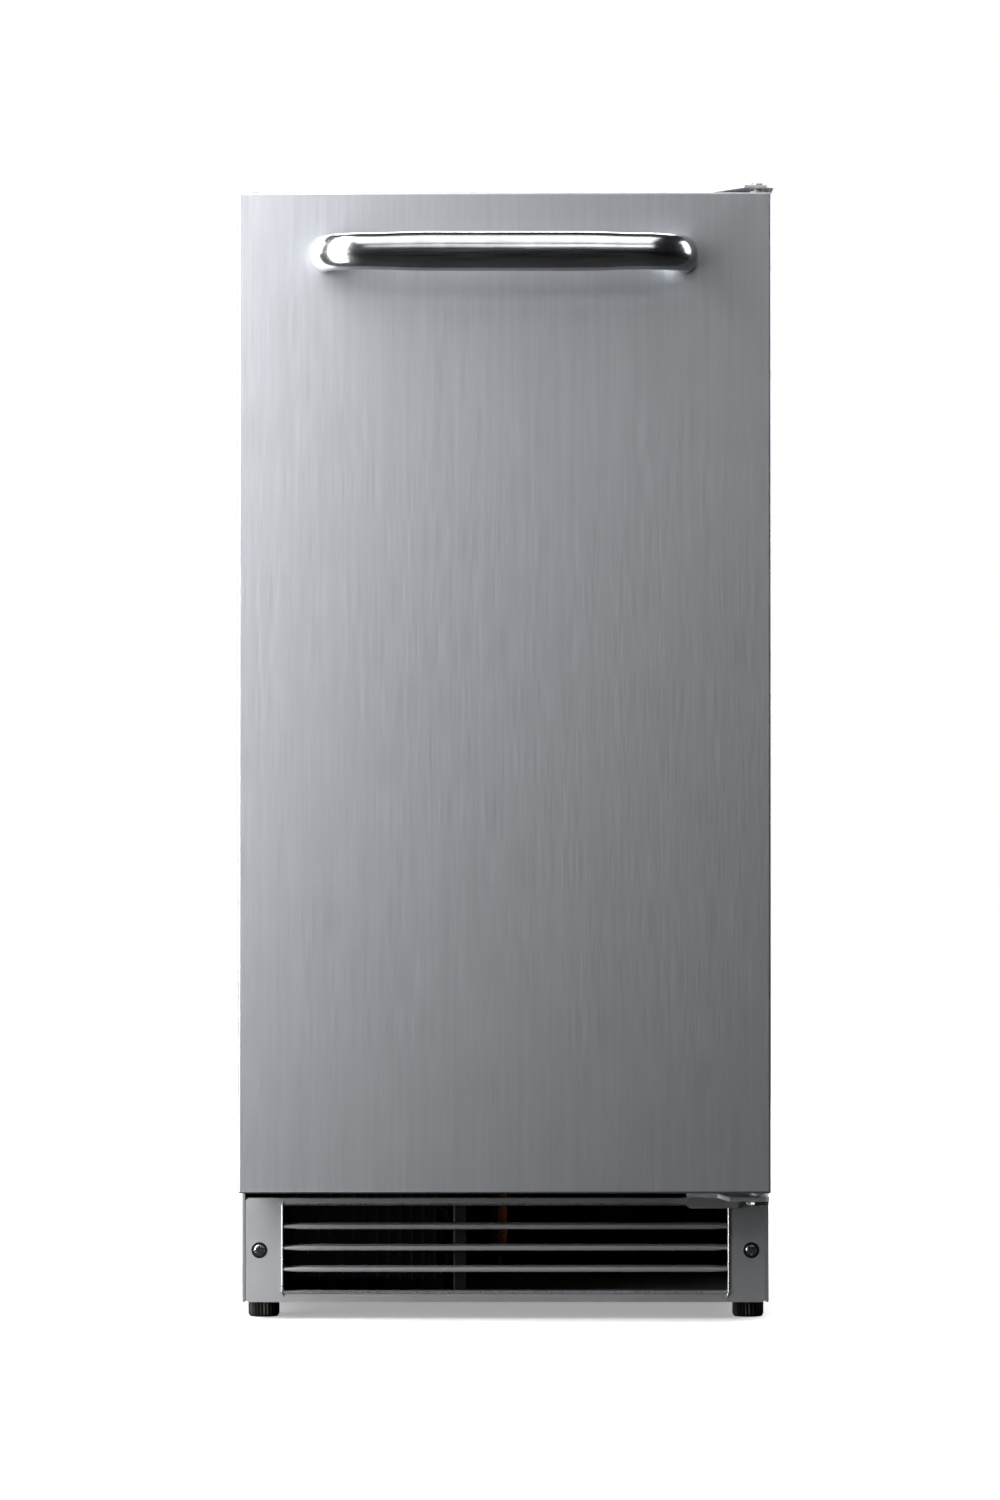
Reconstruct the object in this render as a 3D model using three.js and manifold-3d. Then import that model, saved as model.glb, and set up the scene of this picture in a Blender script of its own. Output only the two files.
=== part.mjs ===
// Undercounter ice maker: hinged stainless door, insulated cabinet, front-breathing machine space
// below it, and a crescent ice module over a bin inside. Millimetres, +Z up, +X right, front is -Y.
import * as THREE from 'three';
import { mergeVertices } from 'three/addons/utils/BufferGeometryUtils.js';
import Module from 'manifold-3d';

const wasm = await Module();
wasm.setup();

// ---------- driving dimensions ----------
const WIDTH = 378; // door and cabinet
const HALF = WIDTH / 2;
const CABINET_DEPTH = 500;
const CABINET_TOP = 808;
const SHEET = 1; // panel sheet
const GAP = 0.3; // between pieces that touch
const HEM = 2.2; // folded front edge of a side panel
const BASE_BOTTOM = 12.7; // underside of the cabinet
const GRILLE_TOP = 87.3;
const MACHINE_TOP = 108; // underside of the front foam
const HUMP_TOP = 205; // underside of the foam over the compressor
const HUMP_FRONT = CABINET_DEPTH - 188;

const DOOR_BOTTOM = 94.5;
const DOOR_TOP = CABINET_TOP - 3.5;
const DOOR_FRONT = -55;
const DOOR_BACK = -10;
const PIVOT_INSET = 9; // hinge axis in from the door's right edge
const PIVOT_Y = -35;
const PIN_RADIUS = 3.2;
const PIN_FIT = 0.3;

const WALL = 45; // from the cabinet's outside to the liner's inside
const CAVITY_HALF = HALF - WALL;
const CAVITY_BACK = CABINET_DEPTH - WALL;
const CAVITY_TOP = CABINET_TOP - WALL;
const CAVITY_FLOOR = 245; // over the hump
const WELL_FLOOR = 150; // under the bin
const WELL_BACK = HUMP_FRONT - 42;
const LINER = 2;

const HANDLE_LENGTH = 274;
const HANDLE_Z = DOOR_TOP - 44.5;
const HANDLE_TALL = 28;
const HANDLE_THICK = 18;
const HANDLE_STANDOFF = 46; // front of the bar from the door's face

const GRILLE_OPENING = WIDTH - 59;
const GRILLE_OPENING_LOW = 20.6;
const GRILLE_OPENING_HIGH = 82;
const LOUVRES = 3;
const LOUVRE_THICK = 3.5;
const LOUVRE_DEPTH = 15;
const GRILLE_SCREW_X = HALF - 12.4;
const GRILLE_SCREW_Z = 50;

const FOOT_X = HALF - 14;
const FOOT_INSET = 34; // from the front and the back
const FOOT_RADIUS = 11.5;
const FOOT_RIBS = 14;
const STUD_RADIUS = 4;
const STUD_TOP = 46;

const BIN_HALF = CAVITY_HALF - 16;
const BIN_FRONT = 32;
const BIN_BACK = WELL_BACK - 8;
const BIN_BOTTOM = WELL_FLOOR + 2;
const BIN_TOP = CAVITY_TOP - 263;
const BIN_WALL = 3;

const MOULD_X = 49 - CAVITY_HALF; // centre of the ice mould
const MOULD_HALF = 33;
const MOULD_FRONT = 56;
const MOULD_BACK = WELL_BACK - 30;
const MOULD_TOP = CAVITY_TOP - 95;
const MOULD_BOTTOM = MOULD_TOP - 28;
const CUBES = 8;
const SHAFT_Z = MOULD_TOP + 10;
const SHAFT_RADIUS = 4;

const GEAR_MODULE = 1.2;
const GEAR_TEETH = 36;
const PINION_TEETH = 12;
const GEAR_FRONT = 32;
const GEAR_WIDTH = 6;

const FAN_RADIUS = 34;
const CONDENSER_FAN = { x: 82 - HALF, y: 142, z: 61, radius: FAN_RADIUS };
const EVAPORATOR_FAN = { x: CAVITY_HALF - 84, y: CAVITY_BACK - 43, z: CAVITY_TOP - 73, radius: FAN_RADIUS };
const COMPRESSOR = { x: HALF - 115, y: CABINET_DEPTH - 98, radius: 62, top: 180 };
const SCOOP = { x: CAVITY_HALF - 23, front: 62, back: 146, bottom: BIN_TOP + 20, lip: BIN_TOP + 100,
  top: BIN_TOP + 206 };

// ---------- solids ----------
function solid(geometry) {
  const bare = geometry.clone();
  bare.deleteAttribute('normal');
  bare.deleteAttribute('uv');
  const merged = mergeVertices(bare, 1e-4);
  return new wasm.Manifold(new wasm.Mesh({
    numProp: 3,
    vertProperties: new Float32Array(merged.attributes.position.array),
    triVerts: new Uint32Array(merged.index.array),
  }));
}

function block(x0, x1, y0, y1, z0, z1) {
  const shape = new THREE.BoxGeometry(x1 - x0, y1 - y0, z1 - z0);
  shape.translate((x0 + x1) / 2, (y0 + y1) / 2, (z0 + z1) / 2);
  return solid(shape);
}

// A block whose X span is given outwards from the centre plane, on the side asked for.
function sideBlock(side, near, far, y0, y1, z0, z1) {
  return block(Math.min(side * near, side * far), Math.max(side * near, side * far), y0, y1, z0, z1);
}

// A block turned about the vertical axis through the origin.
function turnedBlock(x0, x1, y0, y1, z0, z1, angle) {
  const shape = new THREE.BoxGeometry(x1 - x0, y1 - y0, z1 - z0);
  shape.translate((x0 + x1) / 2, (y0 + y1) / 2, (z0 + z1) / 2);
  shape.rotateZ(angle);
  return solid(shape);
}

// A round bar from one point to another.
function rod(from, to, radius, sides = 12, farRadius = radius) {
  const a = new THREE.Vector3(...from);
  const b = new THREE.Vector3(...to);
  const bar = new THREE.CylinderGeometry(farRadius, radius, a.distanceTo(b), sides);
  const turn = new THREE.Quaternion();
  turn.setFromUnitVectors(new THREE.Vector3(0, 1, 0), b.clone().sub(a).normalize());
  bar.applyQuaternion(turn);
  bar.translate((a.x + b.x) / 2, (a.y + b.y) / 2, (a.z + b.z) / 2);
  return solid(bar);
}

function union(list) {
  return list.reduce((sum, next) => sum.add(next));
}

function carve(body, ...cutters) {
  return cutters.reduce((left, cutter) => left.subtract(cutter), body);
}

function polygon(points) {
  return new THREE.Shape(points.map(([x, y]) => new THREE.Vector2(x, y)));
}

// A flat plate whose outline lies in XY.
function plateUp(points, z0, z1) {
  const shape = new THREE.ExtrudeGeometry(polygon(points), { depth: z1 - z0, bevelEnabled: false });
  shape.translate(0, 0, z0);
  return solid(shape);
}

// A bar whose section is drawn in YZ and runs along X.
function barAcross(points, x0, x1) {
  const shape = new THREE.ExtrudeGeometry(polygon(points), { depth: x1 - x0, bevelEnabled: false });
  shape.rotateY(Math.PI / 2);
  shape.rotateX(Math.PI / 2);
  shape.translate(x0, 0, 0);
  return solid(shape);
}

function roundedOutline(x0, x1, z0, z1, r) {
  const s = new THREE.Shape();
  s.moveTo(x0 + r, z0);
  s.lineTo(x1 - r, z0);
  s.absarc(x1 - r, z0 + r, r, -Math.PI / 2, 0);
  s.lineTo(x1, z1 - r);
  s.absarc(x1 - r, z1 - r, r, 0, Math.PI / 2);
  s.lineTo(x0 + r, z1);
  s.absarc(x0 + r, z1 - r, r, Math.PI / 2, Math.PI);
  s.lineTo(x0, z0 + r);
  s.absarc(x0 + r, z0 + r, r, Math.PI, 1.5 * Math.PI);
  return s;
}

// A plate with rounded corners that stands in XZ, from y0 back to y1.
function upright(x0, x1, z0, z1, r, y0, y1) {
  const options = { depth: y1 - y0, bevelEnabled: false, curveSegments: 4 };
  const shape = new THREE.ExtrudeGeometry(roundedOutline(x0, x1, z0, z1, r), options);
  shape.rotateX(Math.PI / 2);
  shape.translate(0, y1, 0);
  return solid(shape);
}

// A tube of the given radius along a smooth route.
function pipe(points, radius, steps, sides = 8) {
  const route = new THREE.CatmullRomCurve3(points.map((p) => new THREE.Vector3(...p)), false,
    'centripetal');
  return sweep(route, radius, radius, steps, sides);
}

function sweep(route, halfA, halfB, steps, sides) {
  const section = [];
  for (let i = 0; i < sides; i += 1) {
    const angle = (2 * Math.PI * i) / sides;
    section.push([halfA * Math.cos(angle), halfB * Math.sin(angle)]);
  }
  const options = { steps, extrudePath: route, bevelEnabled: false };
  return solid(new THREE.ExtrudeGeometry(polygon(section), options));
}

// A turned piece about the vertical axis through (x, y).
function turned(profile, x, y, sides = 24) {
  const shape = new THREE.LatheGeometry(profile.map(([r, z]) => new THREE.Vector2(r, z)), sides);
  shape.rotateX(Math.PI / 2);
  shape.translate(x, y, 0);
  return solid(shape);
}

// A toothed wheel about the Y axis through (x, z), with a tooth turned by `turn` from +X.
function toothedWheel(teeth, x, z, y0, y1, turn) {
  const pitchRadius = (GEAR_MODULE * teeth) / 2;
  const tip = pitchRadius + 0.65 * GEAR_MODULE;
  const root = pitchRadius - 1.0 * GEAR_MODULE;
  const pitch = (2 * Math.PI) / teeth;
  const points = [];
  for (let i = 0; i < teeth; i += 1) {
    for (const [radius, share] of [[root, -0.22], [tip, -0.09], [tip, 0.09], [root, 0.22]]) {
      const angle = turn + pitch * (i + share);
      points.push([radius * Math.cos(angle), radius * Math.sin(angle)]);
    }
  }
  const shape = new THREE.ExtrudeGeometry(polygon(points), { depth: y1 - y0, bevelEnabled: false });
  shape.rotateX(Math.PI / 2);
  shape.translate(x, y1, z);
  return solid(shape);
}

// ---------- finishes ----------
function finish(color, roughness, metalness) {
  return new THREE.MeshStandardMaterial({ color, roughness, metalness });
}
const STAINLESS = finish(0xb9bcc0, 0.35, 1);
const POLISHED = finish(0xd4d6d8, 0.12, 1);
const GREY_PAINT = finish(0x9a9c9f, 0.45, 0.6);
const BLACK_PAINT = finish(0x1b1c1e, 0.45, 0.1);
const BLACK_PLASTIC = finish(0x161616, 0.55, 0);
const WHITE_PLASTIC = finish(0xeceded, 0.4, 0);
const GREY_PLASTIC = finish(0x7d8083, 0.5, 0);
const CLEAR_PLASTIC = finish(0xcfdde4, 0.15, 0);
const FOAM = finish(0xe8d9a0, 0.95, 0);
const RUBBER = finish(0x202122, 0.85, 0);
const ALUMINIUM = finish(0xc4c7c9, 0.4, 1);
const COPPER = finish(0xb5714a, 0.3, 1);
const BRASS = finish(0xb59a55, 0.35, 1);

// Every piece is a named mesh in the group it belongs to, with its own material.
const iceMaker = new THREE.Group();
function addGroup() {
  const group = new THREE.Group();
  iceMaker.add(group);
  return group;
}
function add(group, name, body, material) {
  const cut = body.getMesh();
  const geometry = new THREE.BufferGeometry();
  geometry.setAttribute('position', new THREE.BufferAttribute(new Float32Array(cut.vertProperties), 3));
  geometry.setIndex(new THREE.BufferAttribute(new Uint32Array(cut.triVerts), 1));
  geometry.computeVertexNormals();
  const mesh = new THREE.Mesh(geometry, material.clone());
  mesh.name = name;
  group.add(mesh);
  return mesh;
}

// ---------- sizes worked out from the driving ones ----------
const INSIDE = HALF - SHEET - GAP; // clear half width between the side panels
const BETWEEN_HEMS = HALF - HEM - GAP;
const PIVOT_X = HALF - PIVOT_INSET;
const TOP_LIP = 12;
const FOAM_TOP = CABINET_TOP - TOP_LIP - SHEET - GAP;
const FOAM_BACK = CABINET_DEPTH - 2 * SHEET - 2 * GAP;
const VENT_BACK = CABINET_DEPTH - 6;
const FOOT_YS = [FOOT_INSET, CABINET_DEPTH - FOOT_INSET];
const PAN_THICK = 1.5;
const SHELF_LOW = GRILLE_TOP + 0.9;
const SHELF_THICK = 3;
const HINGE_PLATE_LOW = CABINET_TOP + GAP;
const HINGE_PLATE_TOP = CABINET_TOP + 2.5;
const PIPE_RADIUS = 3.2;
const TUBE_RADIUS = 5;
const TUBE_X = MOULD_X;
const TUBE_BACK = CABINET_DEPTH - 24;
const FILL_Z = SHAFT_Z + 46;
const VALVE = { x: TUBE_X, y: CABINET_DEPTH - 44, z: 62 };
const GLAND_X = HALF - 69;
const GLAND_Z = 56;
const SUCTION_X = COMPRESSOR.x + 24;
const SUCTION_Y = CAVITY_BACK - 22;
const STUB_TOP = 182;
const CONDENSER = { x0: 27 - HALF, x1: 137 - HALF, y0: 62, y1: 92, z0: 22, z1: 98, pitch: 8, passes: 5 };
const EVAPORATOR = {
  x0: 40 - CAVITY_HALF,
  x1: CAVITY_HALF - 38,
  y0: CAVITY_BACK - 57,
  y1: CAVITY_BACK - 15,
  z0: CAVITY_FLOOR + 51,
  z1: CAVITY_TOP - 163,
  pitch: 18,
  passes: 6,
};

// ---------- cabinet ----------
const cabinet = addGroup();

function sidePanel(side) {
  const high = CABINET_TOP - SHEET - GAP;
  const wall = sideBlock(side, HALF - SHEET, HALF, 0, CABINET_DEPTH, BASE_BOTTOM, high);
  const hem = sideBlock(side, HALF - HEM, HALF, 0, 9, BASE_BOTTOM, high);
  return wall.add(hem);
}

function topPanel() {
  const low = CABINET_TOP - TOP_LIP;
  const inner = BETWEEN_HEMS;
  const sheet = block(-HALF, HALF, 0, CABINET_DEPTH, CABINET_TOP - SHEET, CABINET_TOP);
  const rim = block(-inner, inner, 0, CABINET_DEPTH - 2 * SHEET - GAP, low, CABINET_TOP - SHEET / 2);
  const rimBack = CABINET_DEPTH - 3 * SHEET - GAP;
  const hollow = block(-inner + SHEET, inner - SHEET, SHEET, rimBack, low - 1, CABINET_TOP - SHEET);
  return carve(sheet.add(carve(rim, hollow)), plugHole());
}

function plugHole() {
  return rod([-PIVOT_X, 14, CABINET_TOP - 8], [-PIVOT_X, 14, CABINET_TOP + 8], 2.6, 12);
}

function hingeHolePlug() {
  const profile = [[0, -6], [1.6, -6], [2.2, -2], [2.2, GAP], [4.2, GAP], [3.4, 2], [1.6, 2.6], [0, 2.6]];
  return turned(profile.map(([r, z]) => [r, CABINET_TOP + z]), -PIVOT_X, 14, 16);
}

function rearPanel() {
  const low = HUMP_TOP + GAP;
  const sheet = block(-INSIDE, INSIDE, CABINET_DEPTH - SHEET, CABINET_DEPTH, low,
    CABINET_TOP - SHEET - GAP);
  const holes = [-1, 1].map((s) => rod([s * (INSIDE - 12), CABINET_DEPTH - 9, low + 12],
    [s * (INSIDE - 12), CABINET_DEPTH + 9, low + 12], 2.4, 8));
  return carve(sheet, ...holes);
}

function insulationFoam() {
  const out = LINER + GAP;
  const side = BETWEEN_HEMS - GAP;
  const body = block(-side, side, 1.5 + 2 * GAP, FOAM_BACK, MACHINE_TOP + GAP, FOAM_TOP);
  const hump = block(-side - 1, side + 1, HUMP_FRONT, FOAM_BACK + 1, 0, HUMP_TOP);
  const cavity = block(-CAVITY_HALF - out, CAVITY_HALF + out, 0, CAVITY_BACK + out, CAVITY_FLOOR - out,
    CAVITY_TOP + out);
  const well = block(-CAVITY_HALF - out, CAVITY_HALF + out, 0, WELL_BACK + out, WELL_FLOOR - out,
    CAVITY_TOP);
  const chase = TUBE_RADIUS + 3;
  const up = block(TUBE_X - chase, TUBE_X + chase, TUBE_BACK - chase, TUBE_BACK + chase, 0, FILL_Z + chase);
  const along = block(TUBE_X - chase, TUBE_X + chase, CAVITY_BACK, TUBE_BACK + chase, FILL_Z - chase,
    FILL_Z + chase);
  const suction = rod([SUCTION_X, SUCTION_Y, 0], [SUCTION_X, SUCTION_Y, CAVITY_FLOOR], PIPE_RADIUS + 2, 12);
  return carve(body, hump, cavity, well, up, along, suction);
}

function innerLiner() {
  const o = LINER;
  const flange = block(-BETWEEN_HEMS, BETWEEN_HEMS, 0, 1.5, MACHINE_TOP, CABINET_TOP - TOP_LIP - GAP);
  const main = block(-CAVITY_HALF - o, CAVITY_HALF + o, 0, CAVITY_BACK + o, CAVITY_FLOOR - o,
    CAVITY_TOP + o);
  const low = block(-CAVITY_HALF - o, CAVITY_HALF + o, 0, WELL_BACK + o, WELL_FLOOR - o, CAVITY_FLOOR + o);
  const cavity = block(-CAVITY_HALF, CAVITY_HALF, -1, CAVITY_BACK, CAVITY_FLOOR, CAVITY_TOP);
  const well = block(-CAVITY_HALF, CAVITY_HALF, -1, WELL_BACK, WELL_FLOOR, CAVITY_TOP);
  const runners = [-1, 1].map((s) => block(s * (BIN_HALF - 20) - 4, s * (BIN_HALF - 20) + 4, 10,
    WELL_BACK - 4, WELL_FLOOR - 1, BIN_BOTTOM - GAP));
  const tubeHole = rod([TUBE_X, CAVITY_BACK - 9, FILL_Z], [TUBE_X, CAVITY_BACK + 9, FILL_Z],
    TUBE_RADIUS + 1, 12);
  const suctionHole = rod([SUCTION_X, SUCTION_Y, CAVITY_FLOOR - 9],
    [SUCTION_X, SUCTION_Y, CAVITY_FLOOR + 9], PIPE_RADIUS + 1.5, 12);
  const shell = carve(union([flange, main, low]), cavity, well, tubeHole, suctionHole);
  return union([shell, ...runners, scoopHook()]);
}

// A moulded hook on the right wall; the scoop's handle loop hangs on it.
function scoopHook() {
  const y = (SCOOP.front + SCOOP.back) / 2;
  const z = SCOOP.top - 10;
  const peg = block(SCOOP.x - 6, CAVITY_HALF + 1, y - 5, y + 5, z - 8, z);
  return peg.add(block(SCOOP.x - 9, SCOOP.x - 6 + GAP, y - 5, y + 5, z - 8, z + 3));
}

// The crossmember under the liner's front, which the lower hinge is screwed up into.
function frontRail() {
  const low = SHELF_LOW + SHELF_THICK + GAP;
  const outer = block(-BETWEEN_HEMS, BETWEEN_HEMS, 0, 44, low, MACHINE_TOP - GAP);
  return carve(outer, block(-BETWEEN_HEMS - 1, BETWEEN_HEMS + 1, 1.5, 60, low + 1.5, MACHINE_TOP + 1));
}

function basePan() {
  const top = BASE_BOTTOM + PAN_THICK;
  const y1 = VENT_BACK - SHEET - 2 * GAP;
  const inner = INSIDE - SHEET;
  const tray = block(-INSIDE, INSIDE, FOOT_INSET - 24, y1, BASE_BOTTOM, BASE_BOTTOM + 14);
  const hollow = block(-inner, inner, -20, y1 + 5, top, BASE_BOTTOM + 20);
  const nuts = [];
  const holes = [];
  for (const s of [-1, 1]) {
    for (const y of FOOT_YS) {
      nuts.push(rod([s * FOOT_X, y, top - 0.5], [s * FOOT_X, y, top + 8], 7, 6));
      holes.push(rod([s * FOOT_X, y, 0], [s * FOOT_X, y, top + 20], STUD_RADIUS + 0.35, 12));
    }
  }
  const tabs = [-1, 1].map(grilleTab);
  return carve(union([carve(tray, hollow), ...nuts, ...tabs]), ...holes, ...grilleScrewHoles(2.7));
}

// An upturned ear at each front corner takes a grille screw.
function grilleTab(side) {
  const front = FOOT_INSET - 24;
  return sideBlock(side, GRILLE_SCREW_X - 8, INSIDE, front, front + PAN_THICK, BASE_BOTTOM,
    GRILLE_SCREW_Z + 12);
}

function grilleScrewHoles(radius) {
  return [-1, 1].map((s) => rod([s * GRILLE_SCREW_X, -9, GRILLE_SCREW_Z],
    [s * GRILLE_SCREW_X, 24, GRILLE_SCREW_Z], radius, 12));
}

function frontGrille() {
  const half = BETWEEN_HEMS;
  const openHalf = GRILLE_OPENING / 2;
  const frame = upright(-half, half, BASE_BOTTOM, GRILLE_TOP, 2.5, 0, 7);
  const lip = upright(-openHalf - 1.5, openHalf + 1.5, GRILLE_OPENING_LOW - 1.5,
    GRILLE_OPENING_HIGH + 1.5, 5, -1.2, 18);
  const hole = upright(-openHalf, openHalf, GRILLE_OPENING_LOW, GRILLE_OPENING_HIGH, 3.6, -5, 30);
  const wells = [-1, 1].map((s) => rod([s * GRILLE_SCREW_X, -3, GRILLE_SCREW_Z],
    [s * GRILLE_SCREW_X, 1.8, GRILLE_SCREW_Z], 5.6, 24));
  const body = carve(frame.add(lip), hole, ...wells, ...grilleScrewHoles(2.7));
  return union([body, ...louvres()]);
}

function louvres() {
  const pitch = (GRILLE_OPENING_HIGH - GRILLE_OPENING_LOW) / (LOUVRES + 1);
  const blades = [];
  for (let i = 1; i <= LOUVRES; i += 1) {
    const z = GRILLE_OPENING_LOW + pitch * i;
    const half = LOUVRE_THICK / 2;
    const nose = [[0.8, z - half], [LOUVRE_DEPTH, z + 0.4], [LOUVRE_DEPTH, z + 2], [0.8, z + half],
      [-0.2, z + half * 0.5], [-0.2, z - half * 0.5]];
    blades.push(barAcross(nose, -GRILLE_OPENING / 2 - 0.6, GRILLE_OPENING / 2 + 0.6));
  }
  return blades;
}

// A pan-head screw whose axis runs back along +Y from its seat.
function panScrew(x, seat, z, headRadius, length) {
  const head = rod([x, seat, z], [x, seat - 2.2, z], headRadius, 20, headRadius * 0.72);
  const slotLong = headRadius * 0.62;
  const cross = [block(x - slotLong, x + slotLong, seat - 4, seat - 1.1, z - 0.45, z + 0.45),
    block(x - 0.45, x + 0.45, seat - 4, seat - 1.1, z - slotLong, z + slotLong)];
  return carve(head, ...cross).add(rod([x, seat - 0.5, z], [x, seat + length, z], 2.1, 10));
}

function airDivider() {
  const x = CONDENSER.x1 + 19;
  const sheet = block(x - SHEET / 2, x + SHEET / 2, 24, HUMP_FRONT - 14, BASE_BOTTOM + PAN_THICK + GAP,
    SHELF_LOW - 1);
  return sheet.add(block(x - 4.5, x + 4.5, 24, 25, BASE_BOTTOM + PAN_THICK + GAP, SHELF_LOW - 1));
}

function rearVentCover() {
  const low = BASE_BOTTOM + 4;
  const high = HUMP_TOP - GAP;
  const sheet = block(-INSIDE, INSIDE, VENT_BACK - SHEET, VENT_BACK, low, high);
  const slots = [];
  const pitch = (WIDTH - 2 * WALL) / 4;
  for (let column = 0; column < 4; column += 1) {
    for (let row = 0; row < 6; row += 1) {
      const x = -HALF + WALL + 14 + column * pitch;
      const z = 108 + row * 14;
      slots.push(block(x, x + pitch - 26, VENT_BACK - 9, VENT_BACK + 9, z, z + 5));
    }
  }
  const valveHole = rod([VALVE.x, VENT_BACK - 9, VALVE.z], [VALVE.x, VENT_BACK + 9, VALVE.z], 15, 20);
  const cordHole = rod([GLAND_X, VENT_BACK - 9, GLAND_Z], [GLAND_X, VENT_BACK + 9, GLAND_Z], 8, 20);
  return carve(sheet, ...slots, valveHole, cordHole);
}

function cordGland() {
  const rear = VENT_BACK;
  const flange = rod([GLAND_X, rear + GAP, GLAND_Z], [GLAND_X, rear + 5.5, GLAND_Z], 11, 20, 9.5);
  const barrel = rod([GLAND_X, rear - 9, GLAND_Z], [GLAND_X, rear + 1, GLAND_Z], 7.5, 20);
  return carve(flange.add(barrel), rod([GLAND_X, rear - 20, GLAND_Z], [GLAND_X, rear + 20, GLAND_Z],
    4.2, 16));
}

// The plate over the top panel that carries the door's upper pin.
function topHingeBracket() {
  const right = HALF + 2;
  const front = PIVOT_Y - 13;
  const left = PIVOT_X - 35;
  const outline = [[left, 34], [left, -2], [PIVOT_X - 10, front], [PIVOT_X + 6, front],
    [right, front + 6], [right, 34]];
  const plate = plateUp(outline, HINGE_PLATE_LOW, HINGE_PLATE_TOP);
  return carve(plate, rod([PIVOT_X, PIVOT_Y, CABINET_TOP - 5], [PIVOT_X, PIVOT_Y, CABINET_TOP + 9],
    PIN_RADIUS + PIN_FIT, 16));
}

function topHingePin() {
  const headLow = HINGE_PLATE_TOP + GAP;
  const profile = [[0, DOOR_TOP - 12], [PIN_RADIUS - 0.8, DOOR_TOP - 12], [PIN_RADIUS, DOOR_TOP - 10],
    [PIN_RADIUS, headLow], [4.6, headLow], [4.6, headLow + 1.2], [3.8, headLow + 2], [0, headLow + 2]];
  return turned(profile, PIVOT_X, PIVOT_Y, 20);
}

function bottomHingeBracket() {
  const front = PIVOT_Y - 12;
  const left = PIVOT_X - 50;
  const outline = [[left, 40], [left, -3.6], [left + 22, -8], [left + 30, front], [PIVOT_X + 6, front],
    [PIVOT_X + 8, front + 3], [PIVOT_X + 8, -3], [PIVOT_X + 2, 0], [PIVOT_X + 2, 40]];
  const shelf = plateUp(outline, SHELF_LOW, SHELF_LOW + SHELF_THICK);
  const leg = upright(left, left + 38, SHELF_LOW - 8, SHELF_LOW + 1, 3.5, -3.6, -1.2 - GAP);
  return carve(shelf.add(leg), rod([PIVOT_X, PIVOT_Y, 60], [PIVOT_X, PIVOT_Y, 120],
    PIN_RADIUS + PIN_FIT, 16));
}

function bottomHingePin() {
  const seat = SHELF_LOW - GAP;
  const profile = [[0, seat - 3], [7.6, seat - 3], [8, seat - 2.4], [8, seat], [PIN_RADIUS, seat],
    [PIN_RADIUS, DOOR_BOTTOM + 10], [PIN_RADIUS - 0.8, DOOR_BOTTOM + 12], [0, DOOR_BOTTOM + 12]];
  return turned(profile, PIVOT_X, PIVOT_Y, 20);
}

// A screw-in foot: knurled pad with a stud into the weld nut of the base pan.
function levelingFoot() {
  const top = BASE_BOTTOM - GAP;
  const r = FOOT_RADIUS;
  const pad = turned([[0, 0], [r - 2, 0], [r - 0.4, 2.4], [r - 0.4, top], [0, top]], 0, 0, 28);
  const ribs = [];
  for (let i = 0; i < FOOT_RIBS; i += 1) {
    ribs.push(turnedBlock(r - 1.6, r, -0.9, 0.9, 2.6, top, (2 * Math.PI * i) / FOOT_RIBS));
  }
  return union([pad, ...ribs, rod([0, 0, top - 1], [0, 0, STUD_TOP], STUD_RADIUS, 12)]);
}

add(cabinet, 'side_panel_left', sidePanel(-1), GREY_PAINT);
add(cabinet, 'side_panel_right', sidePanel(1), GREY_PAINT);
add(cabinet, 'top_panel', topPanel(), GREY_PAINT);
add(cabinet, 'rear_panel', rearPanel(), GREY_PAINT);
add(cabinet, 'insulation_foam', insulationFoam(), FOAM);
add(cabinet, 'inner_liner', innerLiner(), WHITE_PLASTIC);
add(cabinet, 'front_rail', frontRail(), GREY_PAINT);
add(cabinet, 'base_pan', basePan(), GREY_PAINT);
add(cabinet, 'front_grille', frontGrille(), GREY_PAINT);
add(cabinet, 'grille_screw_left', panScrew(-GRILLE_SCREW_X, 1.5, GRILLE_SCREW_Z, 4.3, 14), POLISHED);
add(cabinet, 'grille_screw_right', panScrew(GRILLE_SCREW_X, 1.5, GRILLE_SCREW_Z, 4.3, 14), POLISHED);
add(cabinet, 'air_divider', airDivider(), GREY_PAINT);
add(cabinet, 'rear_vent_cover', rearVentCover(), GREY_PAINT);
add(cabinet, 'cord_gland', cordGland(), BLACK_PLASTIC);
add(cabinet, 'top_hinge_bracket', topHingeBracket(), STAINLESS);
add(cabinet, 'top_hinge_pin', topHingePin(), POLISHED);
add(cabinet, 'hinge_hole_plug', hingeHolePlug(), BLACK_PLASTIC);
add(cabinet, 'bottom_hinge_bracket', bottomHingeBracket(), STAINLESS);
add(cabinet, 'bottom_hinge_pin', bottomHingePin(), POLISHED);
for (const [side, across] of [['left', -1], ['right', 1]]) {
  for (const [end, y] of [['front', FOOT_YS[0]], ['rear', FOOT_YS[1]]]) {
    const foot = add(cabinet, `leveling_foot_${end}_${side}`, levelingFoot(), BLACK_PLASTIC);
    foot.position.set(across * FOOT_X, y, 0);
  }
}

// ---------- door ----------
const door = addGroup();
const DOOR_LINER_FRONT = DOOR_BACK - 3;
const SEAL_HALF = PIVOT_X - 8; // outer half width of the gasket, kept inside the pivot
const SEAL_WIDE = 12;
const SEAL_LOW = MACHINE_TOP + 6;
const SEAL_HIGH = DOOR_TOP - 12;
const BUSH_RADIUS = 5.3;
const BUSH_DEEP = 16;

function bushHole(radius, z) {
  return rod([PIVOT_X, PIVOT_Y, z - BUSH_DEEP - 2], [PIVOT_X, PIVOT_Y, z + BUSH_DEEP + 2], radius, 20);
}

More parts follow.
